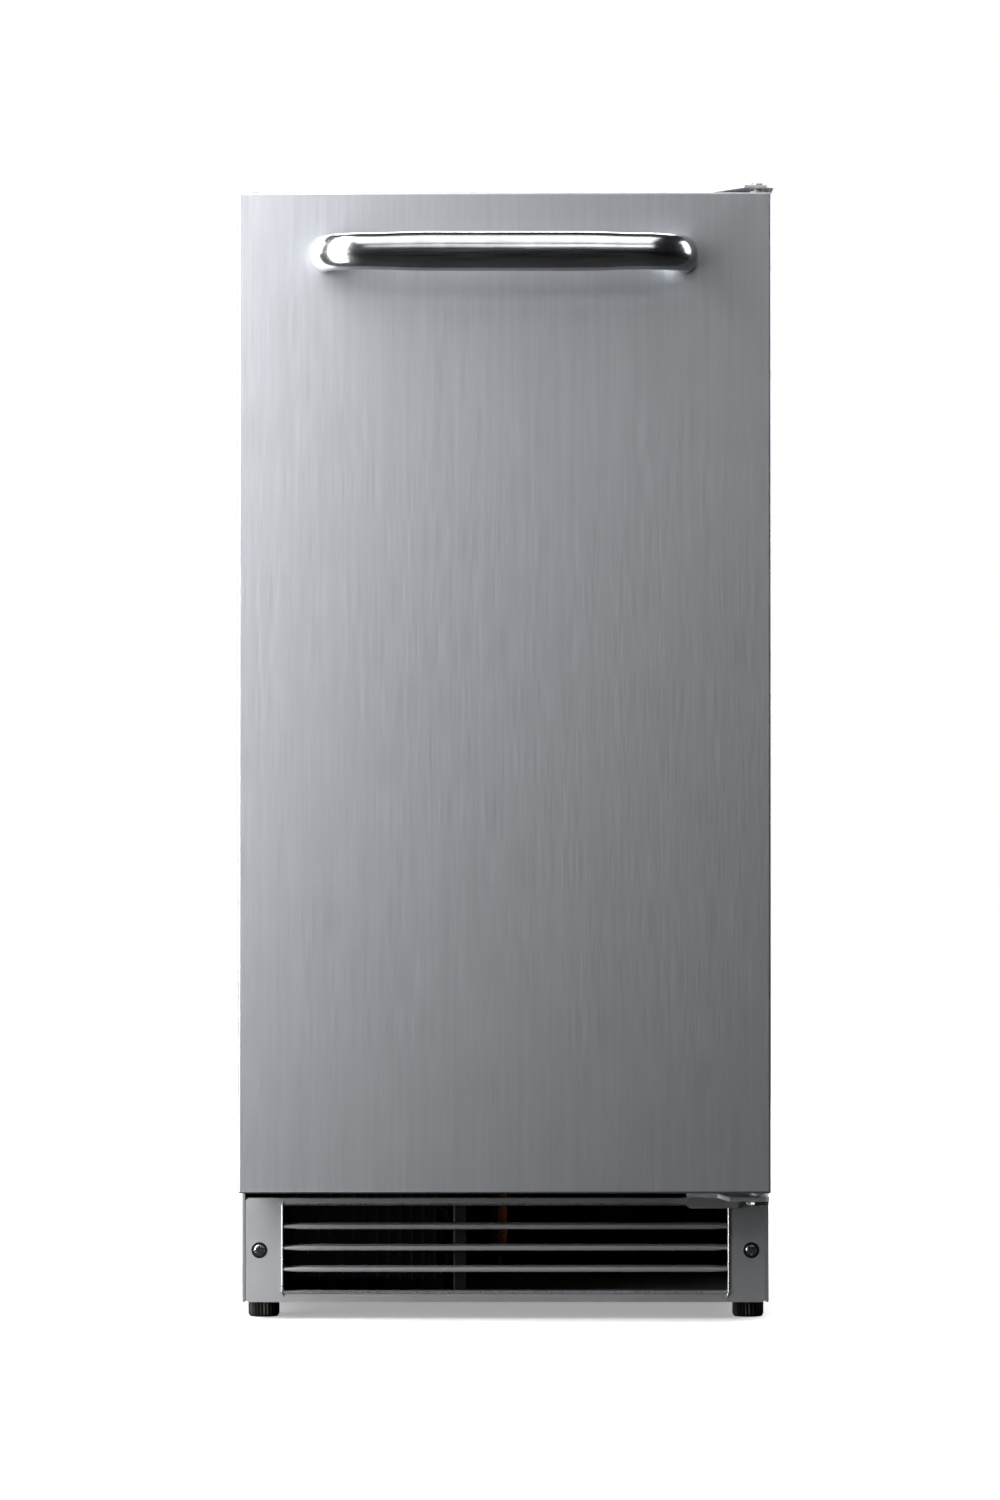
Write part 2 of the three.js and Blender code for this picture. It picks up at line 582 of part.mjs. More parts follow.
function doorSkin() {
  const corner = 3;
  const back = DOOR_LINER_FRONT;
  const outer = upright(-HALF, HALF, DOOR_BOTTOM, DOOR_TOP, corner, DOOR_FRONT, back);
  const inner = upright(-HALF + SHEET, HALF - SHEET, DOOR_BOTTOM + SHEET, DOOR_TOP - SHEET,
    corner - SHEET, DOOR_FRONT + SHEET, back + 9);
  return carve(outer, inner, bushHole(BUSH_RADIUS + GAP, DOOR_TOP),
    bushHole(BUSH_RADIUS + GAP, DOOR_BOTTOM));
}

function doorFoam() {
  const inset = SHEET + GAP;
  const body = block(-HALF + inset, HALF - inset, DOOR_FRONT + inset, DOOR_LINER_FRONT - GAP,
    DOOR_BOTTOM + inset + 1, DOOR_TOP - inset - 1);
  const holes = [DOOR_TOP, DOOR_BOTTOM].map((z) => bushHole(BUSH_RADIUS + GAP, z));
  return carve(body, ...holes);
}

// The white inner panel, with a raised frame inside the gasket and a dished middle.
function doorLiner() {
  const sheet = block(-HALF, HALF, DOOR_LINER_FRONT + GAP, DOOR_BACK - GAP, DOOR_BOTTOM, DOOR_TOP);
  const dykeHalf = CAVITY_HALF - 18;
  const dykeLow = WELL_FLOOR + 14;
  const dykeHigh = CAVITY_TOP - 14;
  const dyke = upright(-dykeHalf, dykeHalf, dykeLow, dykeHigh, 12, DOOR_BACK - 1, DOOR_BACK + 16);
  const dish = upright(-dykeHalf + 14, dykeHalf - 14, dykeLow + 14, dykeHigh - 14, 8, DOOR_BACK + 2,
    DOOR_BACK + 30);
  return carve(sheet.add(dyke), dish);
}

function doorGasket() {
  const outer = upright(-SEAL_HALF, SEAL_HALF, SEAL_LOW, SEAL_HIGH, 6, DOOR_BACK, -GAP);
  const inner = upright(-SEAL_HALF + SEAL_WIDE, SEAL_HALF - SEAL_WIDE, SEAL_LOW + SEAL_WIDE,
    SEAL_HIGH - SEAL_WIDE, 3, DOOR_BACK - 1, 1);
  const groove = upright(-SEAL_HALF - 1, SEAL_HALF + 1, SEAL_LOW - 1, SEAL_HIGH + 1, 6, DOOR_BACK + 3.5,
    DOOR_BACK + 5.5);
  const core = upright(-SEAL_HALF + 2, SEAL_HALF - 2, SEAL_LOW + 2, SEAL_HIGH - 2, 4, DOOR_BACK, -GAP);
  return carve(outer, carve(groove, core), inner);
}

function doorBush(z, out) {
  const inner = PIN_RADIUS + PIN_FIT;
  const a = z + out * 2.6;
  const b = z - out * BUSH_DEEP;
  const low = Math.min(a, b);
  const high = Math.max(a, b);
  const closed = [[inner, low], [BUSH_RADIUS, low], [BUSH_RADIUS, high], [inner, high], [inner, low]];
  return turned(closed, PIVOT_X, PIVOT_Y, 20);
}

// An oval bar with both ends bent back to the door.
function doorHandle() {
  const reach = HANDLE_LENGTH / 2 - HANDLE_THICK / 2;
  const front = DOOR_FRONT - HANDLE_STANDOFF + HANDLE_THICK / 2;
  const bend = Math.abs(front - DOOR_FRONT) - 6;
  const path = new THREE.CurvePath();
  const at = (x, y) => new THREE.Vector3(x, y, HANDLE_Z);
  const seat = DOOR_FRONT - GAP;
  path.add(new THREE.LineCurve3(at(-reach, seat), at(-reach, front + bend)));
  path.add(new THREE.QuadraticBezierCurve3(at(-reach, front + bend), at(-reach, front),
    at(-reach + bend, front)));
  path.add(new THREE.LineCurve3(at(-reach + bend, front), at(reach - bend, front)));
  path.add(new THREE.QuadraticBezierCurve3(at(reach - bend, front), at(reach, front),
    at(reach, front + bend)));
  path.add(new THREE.LineCurve3(at(reach, front + bend), at(reach, seat)));
  return sweep(path, HANDLE_TALL / 2, HANDLE_THICK / 2, 36, 16);
}

add(door, 'door_skin', doorSkin(), STAINLESS);
add(door, 'door_foam', doorFoam(), FOAM);
add(door, 'door_liner', doorLiner(), WHITE_PLASTIC);
add(door, 'door_gasket', doorGasket(), RUBBER);
add(door, 'door_bush_top', doorBush(DOOR_TOP, 1), WHITE_PLASTIC);
add(door, 'door_bush_bottom', doorBush(DOOR_BOTTOM, -1), WHITE_PLASTIC);
add(door, 'door_handle', doorHandle(), POLISHED);

// ---------- cold system ----------
const coldSystem = addGroup();

function ringAcross(x, z, inner, outer, y0, y1, sides = 24) {
  return carve(rod([x, y0, z], [x, y1, z], outer, sides),
    rod([x, y0 - 1, z], [x, y1 + 1, z], inner, sides));
}

// Fins on a thin web between two end plates, with the tube's return bends outside the plates.
function finCoil({ x0, x1, y0, y1, z0, z1, pitch, passes }) {
  const count = Math.floor((x1 - x0) / pitch);
  const web = (y0 + y1) / 2;
  const parts = [block(x0, x1, web - PIPE_RADIUS - 1, web + PIPE_RADIUS + 1, z0 + 1, z1 - 1)];
  for (let i = 0; i <= count; i += 1) {
    const x = x0 + ((x1 - x0) * i) / count;
    parts.push(block(x - 0.6, x + 0.6, y0, y1, z0, z1));
  }
  const rise = (z1 - z0) / passes;
  for (let i = 0; i < passes - 1; i += 1) {
    const side = i % 2 === 0 ? 1 : -1;
    const end = side > 0 ? x1 : x0;
    parts.push(returnBend(end, side, web, z0 + rise * (i + 0.5), z0 + rise * (i + 1.5)));
  }
  return union(parts);
}

function returnBend(x, side, y, zLow, zHigh) {
  const r = (zHigh - zLow) / 2;
  const path = new THREE.CurvePath();
  const at = (out, z) => new THREE.Vector3(x + side * out, y, z);
  path.add(new THREE.LineCurve3(at(-2, zLow), at(2, zLow)));
  path.add(new THREE.CubicBezierCurve3(at(2, zLow), at(2 + r * 1.2, zLow), at(2 + r * 1.2, zHigh),
    at(2, zHigh)));
  path.add(new THREE.LineCurve3(at(2, zHigh), at(-2, zHigh)));
  return sweep(path, PIPE_RADIUS, PIPE_RADIUS, 6, 6);
}

function condenserCoil() {
  const web = (CONDENSER.y0 + CONDENSER.y1) / 2;
  const z = CONDENSER.z0 + 7;
  return finCoil(CONDENSER).add(rod([CONDENSER.x0 + 2, web, z], [CONDENSER.x0 - 20, web, z],
    PIPE_RADIUS, 8));
}

function evaporatorCoil() {
  const z = EVAPORATOR.z0;
  const web = (EVAPORATOR.y0 + EVAPORATOR.y1) / 2;
  const across = rod([SUCTION_X, web, z + 6], [SUCTION_X, SUCTION_Y + 2, z + 6], PIPE_RADIUS, 8);
  const down = rod([SUCTION_X, SUCTION_Y, z + 8], [SUCTION_X, SUCTION_Y, z - 6], PIPE_RADIUS, 8);
  return union([finCoil(EVAPORATOR), across, down]);
}

// Three arms and a collar hold a motor behind its fan.
function motorCage(fan, ring, y0, y1, motorRadius) {
  const collar = ringAcross(fan.x, fan.z, motorRadius + GAP, motorRadius + 3, y1, y1 + 6);
  const arms = [90, 210, 330].map((degrees) => {
    const a = (degrees * Math.PI) / 180;
    const at = (r, y) => [fan.x + r * Math.cos(a), y, fan.z + r * Math.sin(a)];
    return union([rod(at(ring, y0), at(ring, y1 + 3), 2, 8),
      rod(at(ring + 1, y1 + 3), at(motorRadius + 1.5, y1 + 3), 2, 8)]);
  });
  return union([collar, ...arms]);
}

function fanShroud() {
  const f = CONDENSER_FAN;
  const plateY = CONDENSER.y1 + 6;
  const plate = block(CONDENSER.x0 - 6, CONDENSER.x1 + 6, plateY, plateY + 1.5,
    BASE_BOTTOM + PAN_THICK + GAP, 104);
  const ring = rod([f.x, plateY, f.z], [f.x, plateY + 24, f.z], f.radius + 6, 28);
  const bore = rod([f.x, plateY - 5, f.z], [f.x, plateY + 40, f.z], f.radius + 4, 28);
  return union([carve(plate.add(ring), bore), motorCage(f, f.radius + 5, plateY + 20, f.y + 22, 20)]);
}

function fanMotor(fan, y0, y1, radius) {
  const can = rod([fan.x, y0, fan.z], [fan.x, y1, fan.z], radius, 20);
  const nose = rod([fan.x, y0 - 4, fan.z], [fan.x, y0 + 1, fan.z], 7, 16);
  return carve(can.add(nose), rod([fan.x, y0 - 9, fan.z], [fan.x, y0 + 14, fan.z], 3.2, 12));
}

// Hub, five pitched blades and the shaft that runs back into the motor.
function fanWheel(fan, shaftBack) {
  const hub = rod([fan.x, fan.y - 7, fan.z], [fan.x, fan.y + 7, fan.z], 9, 20);
  const shaft = rod([fan.x, fan.y + 6, fan.z], [fan.x, shaftBack, fan.z], 2.6, 10);
  const blades = [];
  const count = 5;
  for (let i = 0; i < count; i += 1) {
    const blade = new THREE.BoxGeometry(fan.radius - 7, 1.6, 20);
    blade.rotateX(0.55);
    blade.translate(7 + (fan.radius - 7) / 2, 0, 0);
    blade.rotateY((2 * Math.PI * i) / count);
    blade.translate(fan.x, fan.y, fan.z);
    blades.push(solid(blade));
  }
  return union([hub, shaft, ...blades]);
}

function compressor() {
  const { x, y, radius: r, top } = COMPRESSOR;
  const low = BASE_BOTTOM + PAN_THICK + GAP;
  const profile = [[0, 24], [r - 14, 24], [r - 3, 34], [r, 48], [r, 104], [r + 2, 104], [r + 2, 109],
    [r, 109], [r - 1, 128], [r - 9, 152], [r - 26, 172], [0, top]];
  const can = turned(profile, x, y, 32);
  const plate = block(x - r - 8, x + r + 8, y - 34, y + 34, low + 8, 26);
  const grommets = [];
  for (const sx of [-1, 1]) {
    for (const sy of [-1, 1]) {
      const gx = x + sx * (r - 1);
      const gy = y + sy * 26;
      grommets.push(rod([gx, gy, low], [gx, gy, low + 9], 7, 12));
    }
  }
  const stub = rod([SUCTION_X, SUCTION_Y, 130], [SUCTION_X, SUCTION_Y, STUB_TOP], 4.4, 12);
  return union([can, plate, ...grommets, stub]);
}

function relayCover() {
  const x1 = COMPRESSOR.x - COMPRESSOR.radius - 2.5;
  const y = COMPRESSOR.y;
  return block(x1 - 24, x1, y - 22, y + 22, 52, 98);
}

function filterDrier() {
  const profile = [[0, 26], [3.4, 26], [3.4, 36], [9.5, 46], [9.5, 100], [3.4, 110], [3.4, 118], [0, 118]];
  return turned(profile.map(([r, z]) => [r, z * 0.78 - 2]), COMPRESSOR.x - 82, 250, 16);
}

function dischargePipe() {
  const web = (CONDENSER.y0 + CONDENSER.y1) / 2;
  const z = CONDENSER.z0 + 7;
  const x = CONDENSER.x0 - 16;
  const cx = COMPRESSOR.x;
  const cy = COMPRESSOR.y;
  const route = [[cx - 64, cy + 44, 120], [cx - 86, cy + 50, 112], [cx - 120, cy + 50, 60],
    [cx - 170, cy + 18, 34], [x, cy - 22, z], [x, cy - 102, z], [x, 160, z],
    [x, web + PIPE_RADIUS + GAP, z]];
  return pipe(route, PIPE_RADIUS, 38, 6);
}

function suctionPipe() {
  const x = SUCTION_X;
  const y = SUCTION_Y;
  return rod([x, y, STUB_TOP + GAP], [x, y, EVAPORATOR.z0 - 6 - GAP], PIPE_RADIUS, 12);
}

function waterValve() {
  const { x, y, z } = VALVE;
  const body = block(x - 17, x + 17, y - 18, y + 30, z - 15, z + 15);
  const inlet = rod([x, y + 28, z], [x, CABINET_DEPTH - 1, z], 13, 20);
  const bore = rod([x, y + 34, z], [x, CABINET_DEPTH + 9, z], 8.5, 16);
  const coil = rod([x, y - 46, z], [x, y - 16, z], 14, 20);
  const outlet = rod([x, TUBE_BACK, z + 10], [x, TUBE_BACK, z + 24], 6, 12);
  const foot = block(x - 12, x + 12, y - 16, y + 26, BASE_BOTTOM + PAN_THICK + GAP, z - 14);
  return carve(union([body, inlet, coil, outlet, foot]), bore);
}

function fillTube() {
  const x = TUBE_X;
  const b = TUBE_BACK;
  const z = FILL_Z;
  const up = rod([x, b, VALVE.z + 24 + GAP], [x, b, z], TUBE_RADIUS, 10);
  const elbow = new THREE.SphereGeometry(TUBE_RADIUS, 10, 8);
  elbow.translate(x, b, z);
  const along = rod([x, b, z], [x, MOULD_BACK + 12, z], TUBE_RADIUS, 10);
  return union([up, solid(elbow), along]);
}

function evaporatorCover() {
  const f = EVAPORATOR_FAN;
  const half = CAVITY_HALF - 0.5;
  const y = EVAPORATOR.y0 - 12;
  const plate = block(-half, half, y, y + 2.5, CAVITY_FLOOR + GAP, CAVITY_TOP - GAP);
  const opening = rod([f.x, y - 9, f.z], [f.x, y + 9, f.z], f.radius + 3, 32);
  const tubeHole = rod([TUBE_X, y - 9, FILL_Z], [TUBE_X, y + 9, FILL_Z], TUBE_RADIUS + 1.5, 16);
  const returns = [];
  for (let i = 0; i < 5; i += 1) {
    const z = CAVITY_FLOOR + 18 + i * 11;
    returns.push(block(44 - CAVITY_HALF, CAVITY_HALF - 44, y - 5, y + 9, z, z + 5));
  }
  const bars = [0, 60, 120].map((degrees) => {
    const a = (degrees * Math.PI) / 180;
    const r = f.radius + 4;
    const at = (s) => [f.x + s * r * Math.cos(a), y + 1.25, f.z + s * r * Math.sin(a)];
    return rod(at(-1), at(1), 1.1, 6);
  });
  const cage = motorCage(f, f.radius + 4.5, y + 2, f.y + 16, 17);
  return union([carve(plate, opening, tubeHole, ...returns), ...bars, cage]);
}

add(coldSystem, 'compressor', compressor(), BLACK_PAINT);
add(coldSystem, 'relay_cover', relayCover(), BLACK_PLASTIC);
add(coldSystem, 'condenser_coil', condenserCoil(), BLACK_PAINT);
add(coldSystem, 'fan_shroud', fanShroud(), BLACK_PLASTIC);
add(coldSystem, 'condenser_fan_motor', fanMotor(CONDENSER_FAN, CONDENSER_FAN.y + 20,
  CONDENSER_FAN.y + 48, 20), GREY_PAINT);
add(coldSystem, 'condenser_fan', fanWheel(CONDENSER_FAN, CONDENSER_FAN.y + 32), BLACK_PLASTIC);
add(coldSystem, 'filter_drier', filterDrier(), COPPER);
add(coldSystem, 'discharge_pipe', dischargePipe(), COPPER);
add(coldSystem, 'suction_pipe', suctionPipe(), COPPER);
add(coldSystem, 'water_valve', waterValve(), GREY_PLASTIC);
add(coldSystem, 'fill_tube', fillTube(), CLEAR_PLASTIC);
add(coldSystem, 'evaporator_coil', evaporatorCoil(), ALUMINIUM);
add(coldSystem, 'evaporator_cover', evaporatorCover(), WHITE_PLASTIC);
add(coldSystem, 'evaporator_fan_motor', fanMotor(EVAPORATOR_FAN, EVAPORATOR_FAN.y + 14,
  EVAPORATOR_FAN.y + 36, 17), GREY_PAINT);
add(coldSystem, 'evaporator_fan', fanWheel(EVAPORATOR_FAN, EVAPORATOR_FAN.y + 26), WHITE_PLASTIC);

// ---------- ice module ----------
const iceModule = addGroup();
const CELL = (MOULD_BACK - MOULD_FRONT) / CUBES;
const WEB = 2.5;
const FINGER = 23;
const GEAR_MESH = (GEAR_MODULE * (GEAR_TEETH + PINION_TEETH)) / 2;
const MESH_ANGLE = -Math.PI / 3;
const PINION_X = MOULD_X + GEAR_MESH * Math.cos(MESH_ANGLE);
const PINION_Z = SHAFT_Z + GEAR_MESH * Math.sin(MESH_ANGLE);
const ARM = { x: MOULD_X + MOULD_HALF + 6, z: SHAFT_Z + 12, reach: 26, drop: 90, wire: 1.6 };
const HOUSING_FRONT = 20;

function cellMiddle(i) {
  return MOULD_FRONT + CELL * (i + 0.5);
}

// Eight crescent cells in one casting, a bearing post at each end, and two ears to the wall.
function iceMould() {
  const x0 = MOULD_X - MOULD_HALF;
  const x1 = MOULD_X + MOULD_HALF;
  const body = block(x0, x1, MOULD_FRONT, MOULD_BACK, MOULD_BOTTOM, MOULD_TOP);
  const post = 4;
  const postTop = SHAFT_Z + 12;
  const front = block(MOULD_X - 14, MOULD_X + 14, MOULD_FRONT, MOULD_FRONT + post - 1, MOULD_TOP - 1,
    postTop);
  const back = block(MOULD_X - 14, ARM.x + 6, MOULD_BACK - post, MOULD_BACK, MOULD_TOP - 1, ARM.z + 7);
  const ears = [0.25, 0.75].map((share) => {
    const y = MOULD_FRONT + (MOULD_BACK - MOULD_FRONT) * share;
    return block(-CAVITY_HALF + GAP, x0 + 1, y - 9, y + 9, MOULD_TOP - 14, MOULD_TOP - 2);
  });
  const cells = [];
  for (let i = 0; i < CUBES; i += 1) {
    const y = cellMiddle(i);
    cells.push(rod([MOULD_X, y - (CELL - WEB) / 2, SHAFT_Z], [MOULD_X, y + (CELL - WEB) / 2, SHAFT_Z],
      FINGER + 3, 20));
  }
  const bearing = rod([MOULD_X, 0, SHAFT_Z], [MOULD_X, 400, SHAFT_Z], SHAFT_RADIUS + 0.35, 16);
  const wireHole = rod([ARM.x, MOULD_BACK - 20, ARM.z], [ARM.x, MOULD_BACK + 20, ARM.z], ARM.wire + 0.4,
    10);
  const pour = carve(body, ...cells);
  return carve(union([pour, front, back, ...ears]), bearing, wireHole);
}

function mouldHeater() {
  const r = 3.3;
  const z = MOULD_BOTTOM - r - GAP;
  const half = MOULD_HALF - 13;
  const y0 = MOULD_FRONT + 1;
  const y1 = MOULD_BACK - 8;
  const path = new THREE.CurvePath();
  const at = (x, y) => new THREE.Vector3(MOULD_X + x, y, z);
  path.add(new THREE.LineCurve3(at(-half, y0), at(-half, y1 - half)));
  path.add(new THREE.CubicBezierCurve3(at(-half, y1 - half), at(-half, y1 + 6), at(half, y1 + 6),
    at(half, y1 - half)));
  path.add(new THREE.LineCurve3(at(half, y1 - half), at(half, y0)));
  return sweep(path, r, r, 24, 6);
}

// A comb whose teeth stand over the webs, so the fingers pass between them.
function iceStripper() {
  const z0 = MOULD_TOP + GAP;
  const z1 = z0 + 2;
  const x1 = MOULD_X + MOULD_HALF + 4;
  const spine = block(x1 - 14, x1, cellMiddle(0) + 5, cellMiddle(CUBES - 1) - 5, z0, z1);
  const teeth = [];
  for (let i = 0; i < CUBES - 1; i += 1) {
    const y = cellMiddle(i) + CELL / 2;
    teeth.push(block(MOULD_X + SHAFT_RADIUS + 5, x1 - 8, y - 5.5, y + 5.5, z0, z1));
  }
  return union([spine, ...teeth]);
}

// Shaft and one finger for each cell; the fingers are parked upright.
function ejector() {
  const shaft = rod([MOULD_X, GEAR_FRONT - 4, SHAFT_Z], [MOULD_X, MOULD_BACK + 4, SHAFT_Z],
    SHAFT_RADIUS, 16);
  const fingers = [];
  for (let i = 0; i < CUBES; i += 1) {
    const y = cellMiddle(i);
    fingers.push(block(MOULD_X - 2, MOULD_X + 2, y - 3.5, y + 3.5, SHAFT_Z, SHAFT_Z + FINGER));
  }
  return union([shaft, ...fingers]);
}

function driveGear() {
  const wheel = toothedWheel(GEAR_TEETH, MOULD_X, SHAFT_Z, GEAR_FRONT, GEAR_FRONT + GEAR_WIDTH, MESH_ANGLE);
  const bore = rod([MOULD_X, 0, SHAFT_Z], [MOULD_X, 99, SHAFT_Z], SHAFT_RADIUS + 0.3, 16);
  return carve(wheel, bore);
}

function motorPinion() {
  const gapTurn = MESH_ANGLE + Math.PI + Math.PI / PINION_TEETH;
  const wheel = toothedWheel(PINION_TEETH, PINION_X, PINION_Z, GEAR_FRONT, GEAR_FRONT + GEAR_WIDTH,
    gapTurn);
  const shaft = rod([PINION_X, GEAR_FRONT - 2, PINION_Z],
    [PINION_X, GEAR_FRONT + GEAR_WIDTH + 9, PINION_Z], 2.5, 12);
  return wheel.add(shaft);
}

function driveMotor() {
  const y0 = GEAR_FRONT + GEAR_WIDTH + 1.5;
  const can = rod([PINION_X, y0, PINION_Z], [PINION_X, MOULD_FRONT - 1, PINION_Z], 15, 20);
  return carve(can, rod([PINION_X, y0 - 5, PINION_Z], [PINION_X, y0 + 9, PINION_Z], 2.9, 12));
}

function controlHousing() {
  const x0 = MOULD_X - MOULD_HALF - 6;
  const x1 = ARM.x + 6;
  const z0 = PINION_Z - 27;
  const z1 = SHAFT_Z + 32;
  const back = MOULD_FRONT - 0.5;
  const outer = upright(x0, x1, z0, z1, 4, HOUSING_FRONT, back);
  const inner = upright(x0 + 2, x1 - 2, z0 + 2, z1 - 2, 2.5, HOUSING_FRONT + 2, back + 5);
  const boss = block(ARM.x - 7, x1 - 1, back - 5, back, ARM.z - 7, ARM.z + 7);
  const wireHole = rod([ARM.x, back - 9, ARM.z], [ARM.x, back + 9, ARM.z], ARM.wire + 0.4, 10);
  return carve(carve(outer, inner).add(boss), wireHole);
}

// A wire bail that rests on the ice; lifting it stops the module.
function shutoffArm() {
  const { x, z, reach, drop, wire } = ARM;
  const front = MOULD_FRONT + 6;
  const back = MOULD_BACK - 8;
  const runs = [
    [[x, front - 15, z], [x, front + wire, z]],
    [[x, front, z], [x + reach, front, z - drop]],
    [[x + reach, front - wire, z - drop], [x + reach, back + wire, z - drop]],
    [[x + reach, back, z - drop], [x, back, z]],
    [[x, back - wire, z], [x, back + 11, z]],
  ];
  return union(runs.map(([a, b]) => rod(a, b, wire, 8)));
}

function fillCup() {
  const half = 18;
  const low = SHAFT_Z + FINGER + 3;
  const top = FILL_Z - TUBE_RADIUS - 1.5;
  const front = MOULD_BACK - 16;
  const back = MOULD_BACK + 18;
  const outer = block(MOULD_X - half, MOULD_X + half, front, back, low, top);
  const inner = block(MOULD_X - half + 2, MOULD_X + half - 2, front + 2, back - 2, low + 2, top + 1);
  const spout = rod([MOULD_X, front + 8, low - 5], [MOULD_X, front + 8, low + 5], 4, 12);
  const leg = block(MOULD_X - half, MOULD_X + half, MOULD_BACK + 6, MOULD_BACK + 8, MOULD_TOP, low + 1);
  return carve(outer.add(leg), inner, spout);
}

add(iceModule, 'ice_mould', iceMould(), ALUMINIUM);
add(iceModule, 'mould_heater', mouldHeater(), POLISHED);
add(iceModule, 'ice_stripper', iceStripper(), GREY_PLASTIC);
add(iceModule, 'ejector', ejector(), GREY_PLASTIC);
add(iceModule, 'drive_gear', driveGear(), WHITE_PLASTIC);
add(iceModule, 'motor_pinion', motorPinion(), BRASS);
add(iceModule, 'drive_motor', driveMotor(), GREY_PAINT);
add(iceModule, 'control_housing', controlHousing(), GREY_PLASTIC);
add(iceModule, 'shutoff_arm', shutoffArm(), POLISHED);
add(iceModule, 'fill_cup', fillCup(), WHITE_PLASTIC);

// ---------- bin, scoop and controls ----------
const fittings = addGroup();
const PANEL = { x0: CAVITY_HALF - 122, x1: CAVITY_HALF - 6, y0: 30, y1: 60, z0: CAVITY_TOP - 39,
  z1: CAVITY_TOP - 2 };
const ROCKER = { x: CAVITY_HALF - 86, z: CAVITY_TOP - 20, wide: 16, tall: 22, tilt: 8 };
const KNOB = { x: CAVITY_HALF - 40, z: CAVITY_TOP - 20, radius: 10 };

function column(x0, x1, y0, y1, r, z0, z1) {
  const options = { depth: z1 - z0, bevelEnabled: false, curveSegments: 4 };
  const shape = new THREE.ExtrudeGeometry(roundedOutline(x0, x1, y0, y1, r), options);
  shape.translate(0, 0, z0);
  return solid(shape);
}

function iceBin() {
  const w = BIN_WALL;
  const outer = column(-BIN_HALF, BIN_HALF, BIN_FRONT, BIN_BACK, 7, BIN_BOTTOM, BIN_TOP);
  const rim = column(-BIN_HALF - 4, BIN_HALF + 4, BIN_FRONT - 4, BIN_BACK + 4, 10, BIN_TOP - 6, BIN_TOP);
  const inner = column(-BIN_HALF + w, BIN_HALF - w, BIN_FRONT + w, BIN_BACK - w, 4, BIN_BOTTOM + w,
    BIN_TOP + 9);
  const dip = upright(-74, 74, BIN_TOP - 66, BIN_TOP + 60, 24, BIN_FRONT - 20, BIN_FRONT + 12);
  return carve(outer.add(rim), inner, dip);
}

// A shovel-shaped scoop hung mouth down, with a long loop handle.
function iceScoop() {
  const { x, front, back, bottom, lip, top } = SCOOP;
  const y = (front + back) / 2;
  const bowl = column(x - 17, x + 17, front, back, 12, bottom, lip);
  const hollow = column(x - 14.5, x + 14.5, front + 2.5, back - 2.5, 10, bottom - 5, lip - 2.5);
  const mouth = block(x - 40, x - 4, front - 9, back + 9, bottom - 9, bottom + 46);
  const grip = upright(y - 14, y + 14, lip - 1, top, 6, -4.7, 4.7);
  const slot = upright(y - 8, y + 8, lip + 36, top - 10 + GAP, 4, -9, 9);
  const handle = turnToSide(carve(grip, slot), x, y);
  return carve(bowl, hollow, mouth).add(handle);
}

// Turns a piece drawn across the front by a quarter turn, so that it faces the side wall.
function turnToSide(body, x, y) {
  const cut = body.getMesh();
  const geometry = new THREE.BufferGeometry();
  geometry.setAttribute('position', new THREE.BufferAttribute(new Float32Array(cut.vertProperties), 3));
  geometry.setIndex(new THREE.BufferAttribute(new Uint32Array(cut.triVerts), 1));
  geometry.translate(-y, 0, 0);
  geometry.rotateZ(Math.PI / 2);
  geometry.translate(x, y, 0);
  return solid(geometry);
}

function controlPanel() {
  const { x0, x1, y0, y1, z0, z1 } = PANEL;
  const outer = upright(x0, x1, z0, z1, 4, y0, y1);
  const inner = upright(x0 + 2, x1 - 2, z0 + 2, z1 - 2, 2.5, y0 + 2, y1 + 5);
  const window = block(ROCKER.x - ROCKER.wide / 2 - 0.8, ROCKER.x + ROCKER.wide / 2 + 0.8, y0 - 5,
    y0 + 5, ROCKER.z - ROCKER.tall / 2 - 1.2, ROCKER.z + ROCKER.tall / 2 + 1.2);
  const hole = rod([KNOB.x, y0 - 5, KNOB.z], [KNOB.x, y0 + 5, KNOB.z], 3.5, 16);
  return carve(outer, inner, window, hole);
}

// A two-way rocker, tilted to its on side.
function powerRocker() {
  const half = ROCKER.tall / 2;
  const profile = [[4, -half * 0.7], [4, half * 0.7], [-2, half], [-3.4, half], [-2, 0], [-3.4, -half],
    [-2, -half]];
  const tilt = (ROCKER.tilt * Math.PI) / 180;
  const points = profile.map(([y, z]) => [
    PANEL.y0 + y * Math.cos(tilt) - z * Math.sin(tilt),
    ROCKER.z + y * Math.sin(tilt) + z * Math.cos(tilt),
  ]);
  return barAcross(points, ROCKER.x - ROCKER.wide / 2, ROCKER.x + ROCKER.wide / 2);
}

function thermostatKnob() {
  const { x, z, radius } = KNOB;
  const face = PANEL.y0 - GAP;
  const body = rod([x, face, z], [x, face - 8, z], radius, 24, radius - 0.8);
  const pointer = block(x - 1.4, x + 1.4, face - 10.5, face - 5, z - radius + 1.5, z + radius - 1.5);
  return union([body, pointer, rod([x, face - 1, z], [x, face + 12, z], 3, 12)]);
}

add(fittings, 'ice_bin', iceBin(), CLEAR_PLASTIC);
add(fittings, 'ice_scoop', iceScoop(), WHITE_PLASTIC);
add(fittings, 'control_panel', controlPanel(), GREY_PLASTIC);
add(fittings, 'power_rocker', powerRocker(), BLACK_PLASTIC);
add(fittings, 'thermostat_knob', thermostatKnob(), BLACK_PLASTIC);

// The whole machine is centred front to back, and stands on its feet at z = 0.
const FRONT_EXTENT = DOOR_FRONT - HANDLE_STANDOFF;
iceMaker.position.y = -(FRONT_EXTENT + CABINET_DEPTH) / 2;

export default iceMaker;
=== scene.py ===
"""Undercounter ice maker: the finishes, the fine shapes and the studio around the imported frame."""
import math

